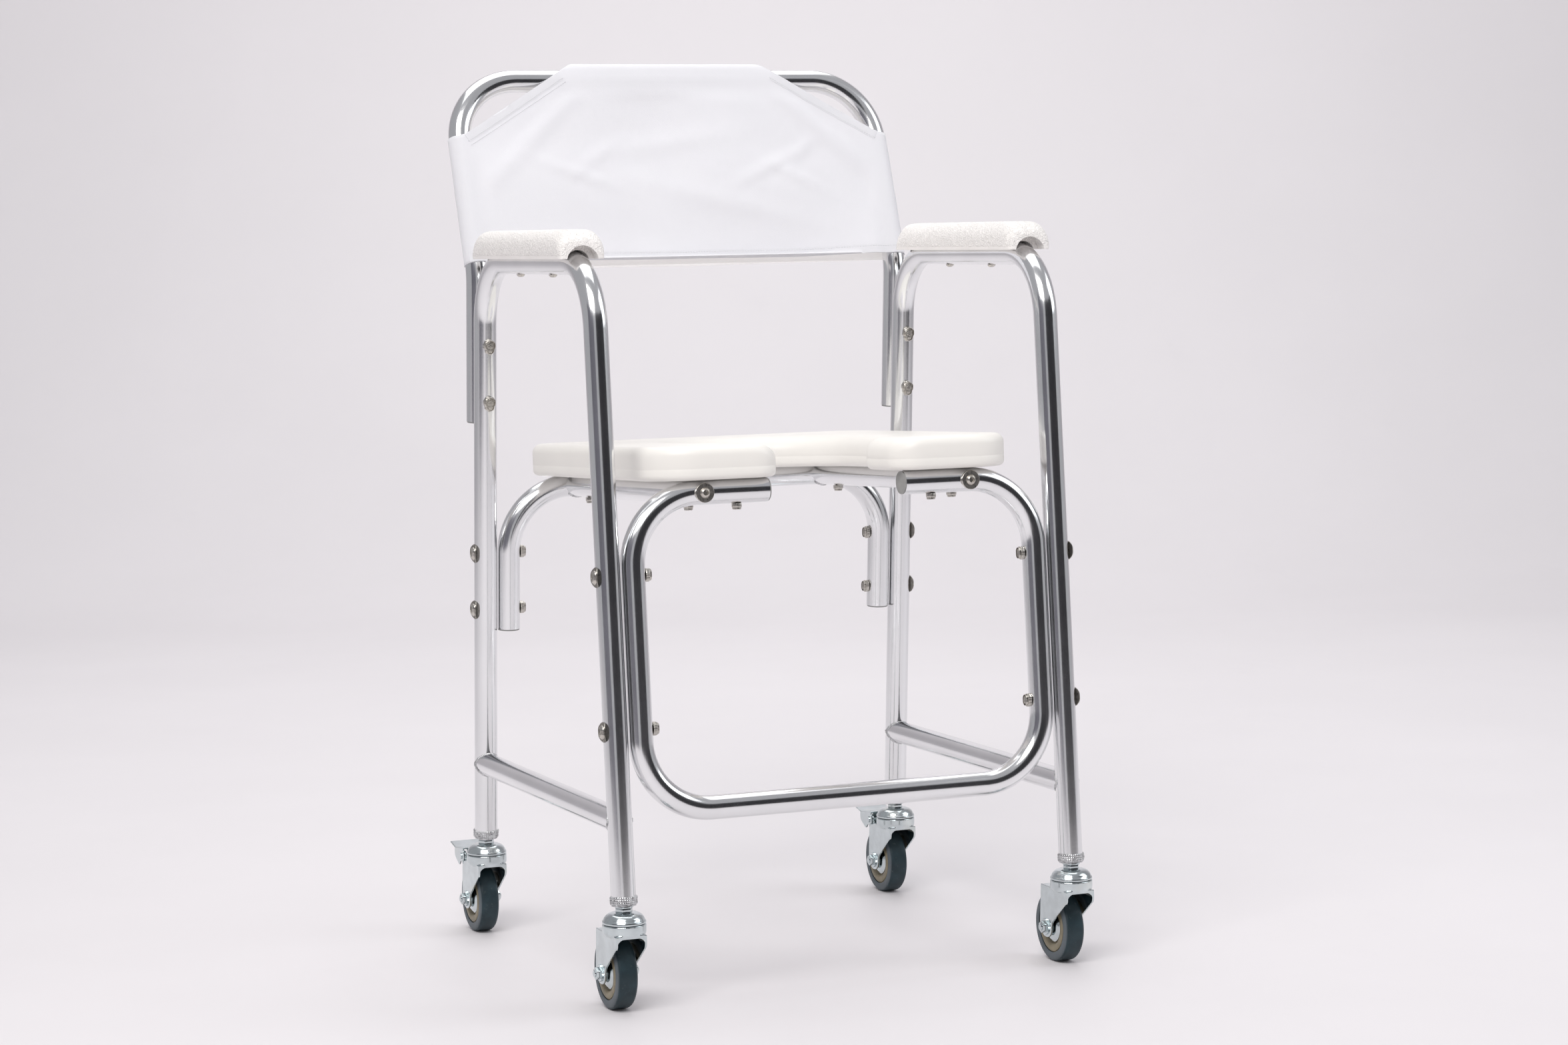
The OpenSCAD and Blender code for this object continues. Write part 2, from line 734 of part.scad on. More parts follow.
// Side view of one fork cheek: straight behind, sloped in front, round at the axle
module cheek_profile(ears) {
    difference() {
        union() {
            polygon([
                [fork_front, crown_low_z + 3], [fork_front, crown_low_z - 8], [axle_y - 10.5, wheel_r + 2],
                [axle_y, wheel_r - 4], [fork_back, wheel_r], [fork_back, crown_low_z + 3]
            ]);
            translate([axle_y, wheel_r]) circle(11);
            if (ears) translate([pedal_pin_y, pedal_pin_z]) circle(6);
        }
        translate([axle_y, wheel_r]) circle(d = axle_d + 2 * pin_fit);
        if (ears) translate([pedal_pin_y, pedal_pin_z]) circle(d = pedal_pin_d + 2 * pin_fit);
    }
}

module fork(i) {
    braked = i > 1;
    color(zinc) at_foot(i) difference() {
        union() {
            for (s = [-1, 1]) translate([s * (cheek_in + cheek_t / 2) - cheek_t / 2, 0, 0])
                rotate([90, 0, 90]) linear_extrude(cheek_t) cheek_profile(braked);
            translate([-cheek_in - eps, fork_front, crown_low_z])
                cube([2 * cheek_in + 2 * eps, fork_back - 3 - fork_front, 3]);
            rotate_extrude() {
                translate([0, crown_low_z]) square([race_r - 3, crown_floor_z - crown_low_z]);
                translate([race_r - 3, crown_low_z + 3]) circle(3);
                translate([race_r - 3, crown_low_z + 3]) square([3, crown_top_z - crown_low_z - 3]);
            }
        }
        translate([0, 0, crown_low_z - 1]) cylinder(d = kingpin_d + 2 * pin_fit, h = 2 * race_r);
    }
}

module axle(i) {
    half = cheek_in + cheek_t + pin_fit;
    color(zinc) at_wheel(i) {
        translate([0, 0, -half]) cylinder(d = axle_d, h = 2 * half + axle_nut_h + 1);
        translate([0, 0, -half - axle_head_h])
            cylinder(d = axle_head_af / cos(30), h = axle_head_h + eps, $fn = 6);
        translate([0, 0, half]) cylinder(d = axle_head_af / cos(30), h = axle_nut_h, $fn = 6);
    }
}

module spacer(i) color(zinc) at_wheel(i) difference() {
    cylinder(d = spacer_d, h = 2 * (cheek_in - pin_fit), center = true);
    cylinder(d = axle_d + 2 * pin_fit, h = 4 * cheek_in, center = true);
}

// Pressed discs on the hub's faces
module guards(i) color(zinc) at_wheel(i) for (s = [0, 1]) mirror([0, 0, s])
    translate([0, 0, tyre_w / 2]) difference() {
        cylinder(r = guard_r, h = guard_t);
        translate([0, 0, -1]) cylinder(d = spacer_d + 0.6, h = guard_t + 2);
    }

module hub(i) color(tan_plastic) at_wheel(i) difference() {
    union() {
        cylinder(r = hub_r, h = tyre_w - 2 * hub_inset, center = true);
        cylinder(r = boss_r, h = tyre_w, center = true);
    }
    cylinder(d = spacer_d + 2 * pin_fit, h = tyre_w + 2, center = true);
    for (s = [0, 1]) mirror([0, 0, s]) translate([0, 0, tyre_w / 2 - dish_depth]) difference() {
        cylinder(r = dish_r, h = tyre_w);
        translate([0, 0, -1]) cylinder(r = boss_r, h = tyre_w + 2);
    }
}

module tyre(i) color(tyre_grey) at_wheel(i) rotate_extrude($fn = 96) {
    translate([hub_r, -tyre_w / 2]) square([wheel_r - shoulder_r - hub_r, tyre_w]);
    translate([hub_r, shoulder_r - tyre_w / 2]) square([wheel_r - hub_r, tyre_w - 2 * shoulder_r]);
    for (s = [-1, 1]) translate([wheel_r - shoulder_r, s * (tyre_w / 2 - shoulder_r)]) circle(shoulder_r);
}

// Foot lever: two cheeks on the pin, a top plate with a flared lip, and a shoe over the tyre
module pedal(i) {
    outer = cheek_in + cheek_t + pedal_gap;
    lip_y = pedal_pin_y + 26;
    color(zinc) at_foot(i) {
        for (s = [-1, 1]) translate([s * (outer + pedal_t / 2) - pedal_t / 2, 0, 0]) rotate([90, 0, 90])
            linear_extrude(pedal_t) difference() {
                union() {
                    translate([pedal_pin_y, pedal_pin_z]) circle(6.5);
                    polygon([
                        [pedal_pin_y - 5, pedal_pin_z + 4], [pedal_pin_y + 4, pedal_pin_z - 6],
                        [pedal_pin_y + 9, pedal_pin_z - 12], [lip_y - 1, pedal_pin_z - 3],
                        [lip_y, pedal_pin_z + 4], [pedal_pin_y - 4, pedal_pin_z + 7.5]
                    ]);
                }
                translate([pedal_pin_y, pedal_pin_z]) circle(d = pedal_pin_d + 2 * pin_fit);
            }
        translate([-outer - pedal_t, 0, 0]) rotate([90, 0, 90])
        linear_extrude(2 * (outer + pedal_t)) polygon([
            [pedal_pin_y - 6, pedal_pin_z + 8.2], [lip_y - 4, pedal_pin_z + 4],
            [pedal_reach, pedal_pin_z + 9], [pedal_reach, pedal_pin_z + 9 + pedal_t],
            [lip_y - 4, pedal_pin_z + 4 + pedal_t], [pedal_pin_y - 6, pedal_pin_z + 8.2 + pedal_t]
        ]);
        translate([-9, 0, 0]) rotate([90, 0, 90]) linear_extrude(18) polygon([
            [pedal_pin_y + 10, pedal_pin_z - 11], [pedal_pin_y + 13, pedal_pin_z - 10.2],
            [pedal_pin_y + 13, pedal_pin_z + 7], [pedal_pin_y + 10, pedal_pin_z + 7]
        ]);
    }
}

module pedal_pin(i) {
    half = cheek_in + cheek_t + pedal_gap + pedal_t + pin_fit;
    color(zinc) at_foot(i) translate([0, pedal_pin_y, pedal_pin_z]) rotate([0, 90, 0]) {
        cylinder(d = pedal_pin_d, h = 2 * half, center = true);
        for (s = [0, 1]) mirror([0, 0, s]) translate([0, 0, half]) cylinder(d = pedal_pin_d + 2, h = 1.2);
    }
}

side_tube(-1);  // left_side_tube
side_tube(1);  // right_side_tube
side_brace(-1);  // left_side_brace
side_brace(1);  // right_side_brace
front_frame();
rear_seat_frame();
seat_rail(-1);  // left_seat_rail
seat_rail(1);  // right_seat_rail
back_frame();
leg_collars();
leg_sockets();
front_frame_plugs();
rear_frame_plugs();
back_frame_plugs();
back_cover();
arm_pad(-1);  // left_arm_pad
arm_pad(1);  // right_arm_pad
arm_pad_screws();
seat();
seat_bolts();
seat_nuts();
leg_bolts();
leg_nuts();
leg_saddles();
back_bolts();
back_nuts();
rail_bolts();
rail_washers();
rail_inserts();
caster_caps();
caster_balls();
fork(0);  // front_left_fork
axle(0);  // front_left_axle
spacer(0);  // front_left_spacer
guards(0);  // front_left_guards
hub(0);  // front_left_hub
tyre(0);  // front_left_tyre
fork(1);  // front_right_fork
axle(1);  // front_right_axle
spacer(1);  // front_right_spacer
guards(1);  // front_right_guards
hub(1);  // front_right_hub
tyre(1);  // front_right_tyre
fork(2);  // rear_left_fork
axle(2);  // rear_left_axle
spacer(2);  // rear_left_spacer
guards(2);  // rear_left_guards
hub(2);  // rear_left_hub
tyre(2);  // rear_left_tyre
pedal(2);  // rear_left_pedal
pedal_pin(2);  // rear_left_pedal_pin
fork(3);  // rear_right_fork
axle(3);  // rear_right_axle
spacer(3);  // rear_right_spacer
guards(3);  // rear_right_guards
hub(3);  // rear_right_hub
tyre(3);  // rear_right_tyre
pedal(3);  // rear_right_pedal
pedal_pin(3);  // rear_right_pedal_pin
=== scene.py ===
"""A wheeled commode chair: its looks, built as an add-on round the chair's fixed CAD frame."""

import json
import math
import random

import bmesh
import bpy
import numpy as np
from bpy.props import FloatProperty, FloatVectorProperty, IntProperty, PointerProperty
from mathutils import Euler, Matrix, Vector, noise


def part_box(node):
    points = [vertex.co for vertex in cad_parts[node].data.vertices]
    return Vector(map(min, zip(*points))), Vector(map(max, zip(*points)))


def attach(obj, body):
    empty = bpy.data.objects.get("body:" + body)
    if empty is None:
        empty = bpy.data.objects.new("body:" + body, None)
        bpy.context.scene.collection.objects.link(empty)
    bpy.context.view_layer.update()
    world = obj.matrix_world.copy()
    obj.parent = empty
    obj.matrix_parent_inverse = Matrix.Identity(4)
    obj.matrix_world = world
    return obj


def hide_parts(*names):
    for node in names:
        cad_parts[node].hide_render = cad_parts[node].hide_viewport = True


bl_info = {
    "name": "Commode chair",
    "version": (1, 0, 0),
    "blender": (4, 5, 0),
    "location": "3D View > Sidebar > Commode chair",
    "description": "Builds the tubes, cloth, mouldings and casters of a wheeled commode chair",
    "category": "Add Mesh",
}

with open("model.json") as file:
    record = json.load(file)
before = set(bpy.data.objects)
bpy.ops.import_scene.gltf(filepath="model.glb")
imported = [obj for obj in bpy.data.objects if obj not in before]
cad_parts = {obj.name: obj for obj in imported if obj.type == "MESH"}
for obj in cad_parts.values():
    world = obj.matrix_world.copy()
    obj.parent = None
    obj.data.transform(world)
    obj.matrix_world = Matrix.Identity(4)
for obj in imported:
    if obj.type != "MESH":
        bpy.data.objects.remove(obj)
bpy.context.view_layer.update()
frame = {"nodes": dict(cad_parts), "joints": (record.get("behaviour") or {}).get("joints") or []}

MM = 0.001
CORNERS = ("front_left", "front_right", "rear_left", "rear_right")
SIDES = (("left", -1), ("right", 1))
JOINT = {joint["name"]: joint for joint in frame["joints"]}


# ---- Places read from the frame ----


def middle(node):
    """The centre of a CAD node's box."""
    low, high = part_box(node)
    return (low + high) / 2


LEG_X = JOINT["front_right_swivel_turn"]["pos_m"][0]
FRONT_FOOT_Y = JOINT["front_right_swivel_turn"]["pos_m"][1]
REAR_FOOT_Y = JOINT["rear_right_swivel_turn"]["pos_m"][1]
TRAIL = JOINT["front_right_wheel_spin"]["pos_m"][1] - FRONT_FOOT_Y
WHEEL_R = JOINT["front_right_wheel_spin"]["pos_m"][2]
BRAKE_PIN = Vector(JOINT["rear_right_brake_press"]["pos_m"]) - Vector((LEG_X, REAR_FOOT_Y, 0))
BRACE_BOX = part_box("left_side_brace")
TUBE_R = (BRACE_BOX[1].z - BRACE_BOX[0].z) / 2
BRACE_Z = middle("left_side_brace").z
ARM_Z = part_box("left_side_tube")[1].z - TUBE_R
RAIL_X = middle("right_seat_rail").x
TOP_BAR_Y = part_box("back_frame")[1].y - TUBE_R
TOP_BAR_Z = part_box("back_frame")[1].z - TUBE_R
REAR_BAR_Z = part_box("rear_seat_frame")[1].z - TUBE_R
FRONT_ARM_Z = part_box("front_frame")[1].z - TUBE_R
FRONT_BAR_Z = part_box("front_frame")[0].z + TUBE_R


# ---- Sizes and colours that a user would change ----


def length(name, default, description):
    """A property that holds a length in metres."""
    return FloatProperty(
        name=name, default=default, description=description, unit="LENGTH", min=0.0, precision=4
    )


def angle(name, degrees, description):
    """A property that holds an angle."""
    return FloatProperty(name=name, default=math.radians(degrees), description=description, subtype="ANGLE")


def colour(name, default, description):
    """A property that holds a colour."""
    return FloatVectorProperty(
        name=name, default=default, description=description, subtype="COLOR", size=3, min=0.0, max=1.0
    )


class ChairTubes(bpy.types.PropertyGroup):
    """Sizes of the bent tubes."""

    splay: angle("Leg splay", 4.4, "Angle that each leg leans out towards its foot")
    bend_radius: length("Bend radius", 0.073, "Radius of a bend on the tube's centre line")
    kink_radius: length("Kink radius", 0.080, "Radius of the kink in the back uprights")
    back_lean: angle("Back lean", 19.5, "Angle that the upper back leans to the rear")
    leg_end: length("Leg end", 0.113, "Height of the lower end of each leg")
    kink_height: length("Kink height", 0.750, "Height at which the back uprights turn")
    back_end: length("Back end", 0.583, "Height of the lower end of the back uprights")
    rear_end: length("Rear frame end", 0.3495, "Height of the lower end of the rear seat frame")
    gap: length("Gap", 0.0016, "Gap between two tubes that are bolted side by side")
    arm_end_x: length("Arm end", 0.077, "Distance from the middle to the end of a seat arm")
    sides: IntProperty(name="Sides", default=48, min=12, description="Faces round a tube")
    bend_steps: IntProperty(name="Bend steps", default=28, min=4, description="Steps along a bend")


class ChairCover(bpy.types.PropertyGroup):
    """Sizes of the cloth back cover."""

    thickness: length("Cloth thickness", 0.0008, "Thickness of the coated cloth")
    clearance: length("Clearance", 0.0006, "Space between the cloth and the tube")
    slack: length("Slack", 0.0065, "Slack of the cloth over the top bar")
    cut_drop: length("Corner cut", 0.0758, "Depth of the corner cuts below the top bar")
    top_half: length("Top half width", 0.132, "Half width of the cloth's top edge")
    hem: length("Hem", 0.011, "Width of the folded hems")
    stitch: length("Stitch", 0.0032, "Distance from one stitch to the next")
    mesh_step: length("Mesh step", 0.008, "Size of the cloth's mesh before it is smoothed")
    frames: IntProperty(name="Frames", default=24, min=1, description="Frames that the cloth settles for")


class ChairSeat(bpy.types.PropertyGroup):
    """Sizes of the moulded seat."""

    corner: length("Corner radius", 0.052, "Radius of the outer corners")
    throat_half: length("Throat half width", 0.064, "Half width of the gap at the front")
    throat: length("Throat length", 0.088, "Length of the straight gap at the front")
    opening_half: length("Opening half width", 0.098, "Half width of the opening")
    opening_length: length("Opening length", 0.305, "Length of the opening, with its gap")
    nose: length("Nose radius", 0.030, "Radius of the two front ends beside the gap")
    edge: length("Edge radius", 0.010, "Rounding of the outer edges")
    roll: length("Inner roll", 0.026, "Width of the rounding towards the opening")


class ChairPads(bpy.types.PropertyGroup):
    """Sizes of the arm pads."""

    edge: length("Edge radius", 0.0155, "Rounding of the pad's upper edges")
    slope: length("End slope", 0.019, "Distance that the pad's ends slope back")
    voxel: length("Detail", 0.0013, "Size of the pad's mesh")
    arch: length("Arch radius", 0.0180, "Radius of the arch at the front end")


class ChairCasters(bpy.types.PropertyGroup):
    """Sizes of the swivel casters."""

    race: length("Race radius", 0.0226, "Radius of the swivel race")
    tread_half: length("Half tyre width", 0.011, "Half the width of a tyre")
    hub: length("Hub radius", 0.0285, "Radius of the plastic hub")
    guard: length("Guard radius", 0.0172, "Radius of the metal disc on the hub")
    fork_half: length("Fork half width", 0.0168, "Half the width across the fork")
    sheet: length("Sheet", 0.0023, "Thickness of the fork's sheet metal")
    voxel: length("Detail", 0.0005, "Size of the pressed parts' mesh")
    swivel_turn: angle("Swivel", 0.0, "Angle that the casters are turned by")


class ChairColours(bpy.types.PropertyGroup):
    """Colours of the chair's finishes."""

    aluminium: colour("Aluminium", (0.86, 0.865, 0.875), "Polished tube")
    stainless: colour("Stainless", (0.66, 0.63, 0.58), "Bolts and nuts of the frame")
    zinc: colour("Zinc", (0.66, 0.72, 0.735), "Plated sheet metal of the casters")
    cloth: colour("Cloth", (0.80, 0.795, 0.825), "Back cover")
    pad: colour("Arm pad", (0.95, 0.92, 0.89), "Arm pads")
    seat: colour("Seat", (0.90, 0.875, 0.825), "Seat")
    hub: colour("Hub", (0.235, 0.20, 0.13), "Plastic hubs")
    tread: colour("Tread", (0.017, 0.031, 0.038), "Running face of the tyres")
    tyre_side: colour("Tyre side", (0.115, 0.135, 0.15), "Side faces of the tyres")
    plug: colour("Plug", (0.30, 0.30, 0.29), "Plastic tube plugs")
    floor: colour("Floor", (0.79, 0.762, 0.776), "Studio floor")


class ChairStage(bpy.types.PropertyGroup):
    """Camera and light of the studio."""

    eye: FloatVectorProperty(
        name="Camera", default=(-1.4441, -3.5457, 0.7900), size=3, unit="LENGTH", description="Camera position"
    )
    yaw: angle("Yaw", -22.641, "Camera turned about the vertical")
    pitch: angle("Pitch", -4.789, "Camera tipped up")
    roll: angle("Roll", -1.066, "Camera rolled about its line of sight")
    lens: FloatProperty(name="Lens", default=80.36, min=1.0, description="Focal length in millimetres")


GROUPS = {
    "chair_tubes": ChairTubes,
    "chair_cover": ChairCover,
    "chair_seat": ChairSeat,
    "chair_pads": ChairPads,
    "chair_casters": ChairCasters,
    "chair_colours": ChairColours,
    "chair_stage": ChairStage,
}


# ---- Node wiring ----


def add_node(tree, kind, settings=None, inputs=None):
    """A new node with its settings, then the values or links of its sockets."""
    node = tree.nodes.new(kind)
    for key, value in (settings or {}).items():
        if key == "ramp":
            stops = node.color_ramp.elements
            while len(stops) < len(value):
                stops.new(0.5)
            for stop, (place, shade) in zip(stops, value):
                stop.position = place
                stop.color = (*shade, 1.0) if isinstance(shade, tuple) else (shade, shade, shade, 1.0)
        else:
            setattr(node, key, value)
    for key, value in (inputs or {}).items():
        if isinstance(value, Wire):
            tree.links.new(value.socket, node.inputs[key])
        else:
            node.inputs[key].default_value = value
    return node


class Wire:
    """An output socket that takes part in sums."""

    def __init__(self, tree, socket):
        self.tree = tree
        self.socket = socket

    def math(self, operation, *others, clamp=False):
        inputs = {index: value for index, value in enumerate((self, *others))}
        node = add_node(self.tree, "ShaderNodeMath", {"operation": operation, "use_clamp": clamp}, inputs)
        return Wire(self.tree, node.outputs[0])

    def __add__(self, other):
        return self.math("ADD", other)

    def __sub__(self, other):
        return self.math("SUBTRACT", other)

    def __mul__(self, other):
        return self.math("MULTIPLY", other)

    def __truediv__(self, other):
        return self.math("DIVIDE", other)

    def __rsub__(self, other):
        return self.math("MULTIPLY", -1.0).math("ADD", other)

    __radd__ = __add__
    __rmul__ = __mul__

    def clamp(self):
        return self.math("ADD", 0.0, clamp=True)

    def step(self, low, high):
        """0 below low, 1 above high, smooth between."""
        settings = {"interpolation_type": "SMOOTHSTEP"}
        node = add_node(self.tree, "ShaderNodeMapRange", settings, {"Value": self, "From Min": low, "From Max": high})
        return Wire(self.tree, node.outputs["Result"])


class Finish:
    """A procedural material under construction, with one Principled shader."""

    def __init__(self, name, **constants):
        self.material = bpy.data.materials.new(name)
        self.material.use_nodes = True
        self.tree = self.material.node_tree
        self.tree.nodes.clear()
        self.shader = add_node(self.tree, "ShaderNodeBsdfPrincipled")
        output = add_node(self.tree, "ShaderNodeOutputMaterial")
        self.tree.links.new(self.shader.outputs[0], output.inputs[0])
        for key, value in constants.items():
            self.shader.inputs[key.replace("_", " ")].default_value = value
        place = add_node(self.tree, "ShaderNodeTexCoord")
        self.place = Wire(self.tree, place.outputs["Object"])

    def node(self, kind, settings=None, inputs=None, out=0):
        return Wire(self.tree, add_node(self.tree, kind, settings, inputs).outputs[out])

    def scaled(self, scale, turn=(0, 0, 0), centre=(0, 0, 0)):
        """Object coordinates, centred, turned and scaled."""
        moved = [-c for c in centre]
        shift = self.node("ShaderNodeVectorMath", {"operation": "ADD"}, {0: self.place, 1: moved})
        return self.node("ShaderNodeMapping", {}, {"Vector": shift, "Rotation": turn, "Scale": scale})

    def noise(self, scale, detail=3.0, rough=0.5, stretch=(1, 1, 1), centre=(0, 0, 0)):
        place = self.scaled(stretch, centre=centre)
        inputs = {"Vector": place, "Scale": scale, "Detail": detail, "Roughness": rough}
        return self.node("ShaderNodeTexNoise", {}, inputs)

    def cells(self, scale, feature="F1", out="Distance", stretch=(1, 1, 1)):
        place = self.scaled(stretch)
        return self.node("ShaderNodeTexVoronoi", {"feature": feature}, {"Vector": place, "Scale": scale}, out)

    def axis(self, name, centre=(0, 0, 0)):
        place = self.scaled((1, 1, 1), centre=centre)
        return self.node("ShaderNodeSeparateXYZ", {}, {0: place}, name)

    def mix(self, factor, a, b):
        """Colour a where factor is 0 and b where it is 1."""
        settings = {"data_type": "RGBA"}
        node = add_node(self.tree, "ShaderNodeMix", settings)
        for socket, value in ((node.inputs[0], factor), (node.inputs[6], a), (node.inputs[7], b)):
            if isinstance(value, Wire):
                self.tree.links.new(value.socket, socket)
            elif isinstance(value, float):
                socket.default_value = value
            else:
                socket.default_value = (*value, 1.0)
        return Wire(self.tree, node.outputs[2])

    def bump(self, height, distance, strength=1.0):
        inputs = {"Height": height, "Distance": distance, "Strength": strength}
        return self.node("ShaderNodeBump", {}, inputs)

    def set(self, **links):
        for key, value in links.items():
            socket = self.shader.inputs[key.replace("_", " ")]
            if isinstance(value, Wire):
                self.tree.links.new(value.socket, socket)
            else:
                socket.default_value = value
        return self.material


def tinted(shade, amount):
    """A colour made darker or lighter by a factor."""
    return tuple(min(1.0, c * amount) for c in shade)


# ---- Finishes ----


def polished_tube(colours):
    """Drawn and polished aluminium: soft streaks, faint handling marks."""
    f = Finish("polished_aluminium", Metallic=1.0)
    cloud = f.noise(9.0, 4.0, 0.6)
    grain = f.noise(900.0, 2.0, 0.5)
    scuffs = f.noise(60.0, 6.0, 0.75, stretch=(1, 1, 0.25)).step(0.62, 0.78)
    base = f.mix(cloud.step(0.3, 0.75), tinted(colours.aluminium, 0.93), colours.aluminium)
    base = f.mix(scuffs * 0.25, base, tinted(colours.aluminium, 0.72))
    rough = cloud * 0.08 + grain * 0.04 + scuffs * 0.10 + 0.105
    return f.set(Base_Color=base, Roughness=rough, Normal=f.bump(grain, 0.00003, 0.35))


def weld_metal(colours):
    """Cast-looking aluminium of the weld beads."""
    f = Finish("weld_aluminium", Metallic=1.0)
    cloud = f.noise(260.0, 4.0, 0.6)
    base = f.mix(cloud.step(0.3, 0.7), tinted(colours.aluminium, 0.48), tinted(colours.aluminium, 0.86))
    return f.set(Base_Color=base, Roughness=cloud * 0.18 + 0.20, Normal=f.bump(cloud, 0.0003, 0.6))


def stainless_steel(colours):
    """Bright, slightly warm stainless of the frame's bolts."""
    f = Finish("stainless_fastener", Metallic=1.0)
    cloud = f.noise(420.0, 4.0, 0.6)
    marks = f.noise(1400.0, 2.0, 0.5)
    base = f.mix(cloud.step(0.35, 0.7), tinted(colours.stainless, 0.78), colours.stainless)
    return f.set(Base_Color=base, Roughness=cloud * 0.20 + 0.20, Normal=f.bump(marks, 0.00005, 0.5))


def zinc_plate(colours):
    """Zinc plating: a cool sheen with pale, straw and blue clouds."""
    f = Finish("zinc_plate", Metallic=1.0)
    cloud = f.noise(55.0, 4.0, 0.6)
    drift = f.noise(24.0, 2.0, 0.5)
    grain = f.noise(1500.0, 2.0, 0.5)
    cool = f.mix(cloud.step(0.35, 0.7), tinted(colours.zinc, 0.86), colours.zinc)
    base = f.mix(drift.step(0.55, 0.72) * 0.30, cool, (0.78, 0.76, 0.66))
    return f.set(Base_Color=base, Roughness=cloud * 0.12 + 0.09, Normal=f.bump(grain, 0.00003, 0.4))


def coated_cloth(colours, fold):
    """Plain-woven, coated cloth: threads both ways, a soft sheen, and light coming through past the fold."""
    f = Finish("coated_cloth", Sheen_Weight=0.2, Subsurface_Weight=0.25, Subsurface_Radius=(1, 1, 1),
               Subsurface_Scale=0.002, IOR=1.45, Emission_Strength=1.0)
    uv = f.node("ShaderNodeUVMap", {"uv_map": "cloth"})
    across = f.node("ShaderNodeSeparateXYZ", {}, {0: uv}, "X")
    along = f.node("ShaderNodeSeparateXYZ", {}, {0: uv}, "Y")
    threads_per_metre = 1450.0
    warp = (across * (threads_per_metre * math.tau)).math("SINE")
    weft = (along * (threads_per_metre * math.tau)).math("SINE")
    over = (across * (threads_per_metre * math.pi)).math("SINE") * (along * (threads_per_metre * math.pi)).math("SINE")
    weave = warp * 0.3 + weft * 0.3 + over * 0.4
    cloud = f.noise(14.0, 5.0, 0.6)
    slub = f.noise(700.0, 2.0, 0.5)
    base = f.mix(cloud.step(0.25, 0.75), tinted(colours.cloth, 0.965), colours.cloth)
    base = f.mix(weave.step(-0.6, 0.5), tinted(colours.cloth, 0.93), base)
    rough = 0.62 + cloud * 0.10 - weave * 0.04
    # painted glow: emission colour, faint before the fold and stronger past it on the back panel
    painted_glow = f.mix(along.step(fold - 0.01, fold + 0.01), (0.012, 0.012, 0.013), (0.30, 0.285, 0.265))
    weave_bump = f.bump(weave + slub * 0.5, 0.00012, 0.55)
    return f.set(Base_Color=base, Roughness=rough, Emission_Color=painted_glow, Normal=weave_bump)


def thread(colours):
    """White sewing thread."""
    f = Finish("white_thread", Sheen_Weight=0.2)
    twist = f.noise(1500.0, 1.0, 0.5)
    base = f.mix(twist.step(0.3, 0.7), tinted(colours.cloth, 0.86), tinted(colours.cloth, 1.02))
    return f.set(Base_Color=base, Roughness=0.6 + twist * 0.1, Normal=f.bump(twist, 0.0001, 0.5))


def grained_pad(colours, rim_top):
    """Cream moulding with a leather grain above a smooth rim."""
    f = Finish("grained_arm_pad", IOR=1.47)
    height = f.axis("Z")
    grained = height.step(rim_top, rim_top + 0.0016)
    warp = f.noise(90.0, 2.0, 0.5)
    place = f.scaled((1, 1, 1))
    bent = f.node("ShaderNodeMix", {"data_type": "VECTOR"}, {0: 0.012, 4: place})
    spread = f.node("ShaderNodeTexNoise", {}, {"Vector": place, "Scale": 120.0, "Detail": 2.0}, "Color")
    f.tree.links.new(spread.socket, bent.socket.node.inputs[5])
    bent = Wire(f.tree, bent.socket.node.outputs[1])
    big = f.node("ShaderNodeTexVoronoi", {"feature": "F1"}, {"Vector": bent, "Scale": 430.0}, "Distance")
    small = f.node("ShaderNodeTexVoronoi", {"feature": "F1"}, {"Vector": bent, "Scale": 900.0}, "Distance")
    pebbles = (1 - big.step(0.05, 0.75)) * 0.75 + (1 - small.step(0.1, 0.8)) * 0.25
    cloud = f.noise(18.0, 4.0, 0.55)
    base = f.mix(cloud.step(0.25, 0.8), tinted(colours.pad, 0.95), tinted(colours.pad, 1.02))
    # painted highlight: the grain's pebble tops a little lighter
    base = f.mix(pebbles.step(0.1, 0.5) * grained, base, tinted(colours.pad, 1.03))
    # painted shade: darker in the grooves between the pebbles
    base = f.mix((1 - pebbles.step(0.0, 0.35)) * grained * 0.35, base, tinted(colours.pad, 0.80))
    rough = 0.46 - pebbles * grained * 0.08 + warp * 0.06
    return f.set(Base_Color=base, Roughness=rough, Normal=f.bump(pebbles * grained, 0.0010, 0.9))


def seat_moulding(colours):
    """Smooth cream moulding with faint flow marks and a satin skin."""
    f = Finish("cream_seat", IOR=1.48, Subsurface_Weight=0.0, Coat_Roughness=0.35)
    cloud = f.noise(7.0, 4.0, 0.55)
    skin = f.noise(420.0, 3.0, 0.55)
    flow = f.noise(26.0, 5.0, 0.7, stretch=(1, 1, 3.0))
    specks = f.cells(60.0).step(0.0, 0.045)
    base = f.mix(cloud.step(0.25, 0.8), tinted(colours.seat, 0.965), tinted(colours.seat, 1.01))
    base = f.mix(flow.step(0.60, 0.78) * 0.35, base, tinted(colours.seat, 0.90))
    base = f.mix((1 - specks) * 0.45, base, tinted(colours.seat, 0.62))
    rough = 0.34 + cloud * 0.10 + skin * 0.05
    return f.set(Base_Color=base, Roughness=rough, Coat_Weight=0.12, Normal=f.bump(skin, 0.00009, 0.4))


def grey_plug(colours):
    """Moulded grey plug with a fine spark-eroded grain."""
    f = Finish("grey_plug")
    grain = f.noise(1300.0, 3.0, 0.6)
    cloud = f.noise(60.0, 3.0, 0.5)
    base = f.mix(cloud.step(0.3, 0.7), tinted(colours.plug, 0.9), tinted(colours.plug, 1.08))
    return f.set(Base_Color=base, Roughness=0.42 + grain * 0.14, Normal=f.bump(grain, 0.0001, 0.6))


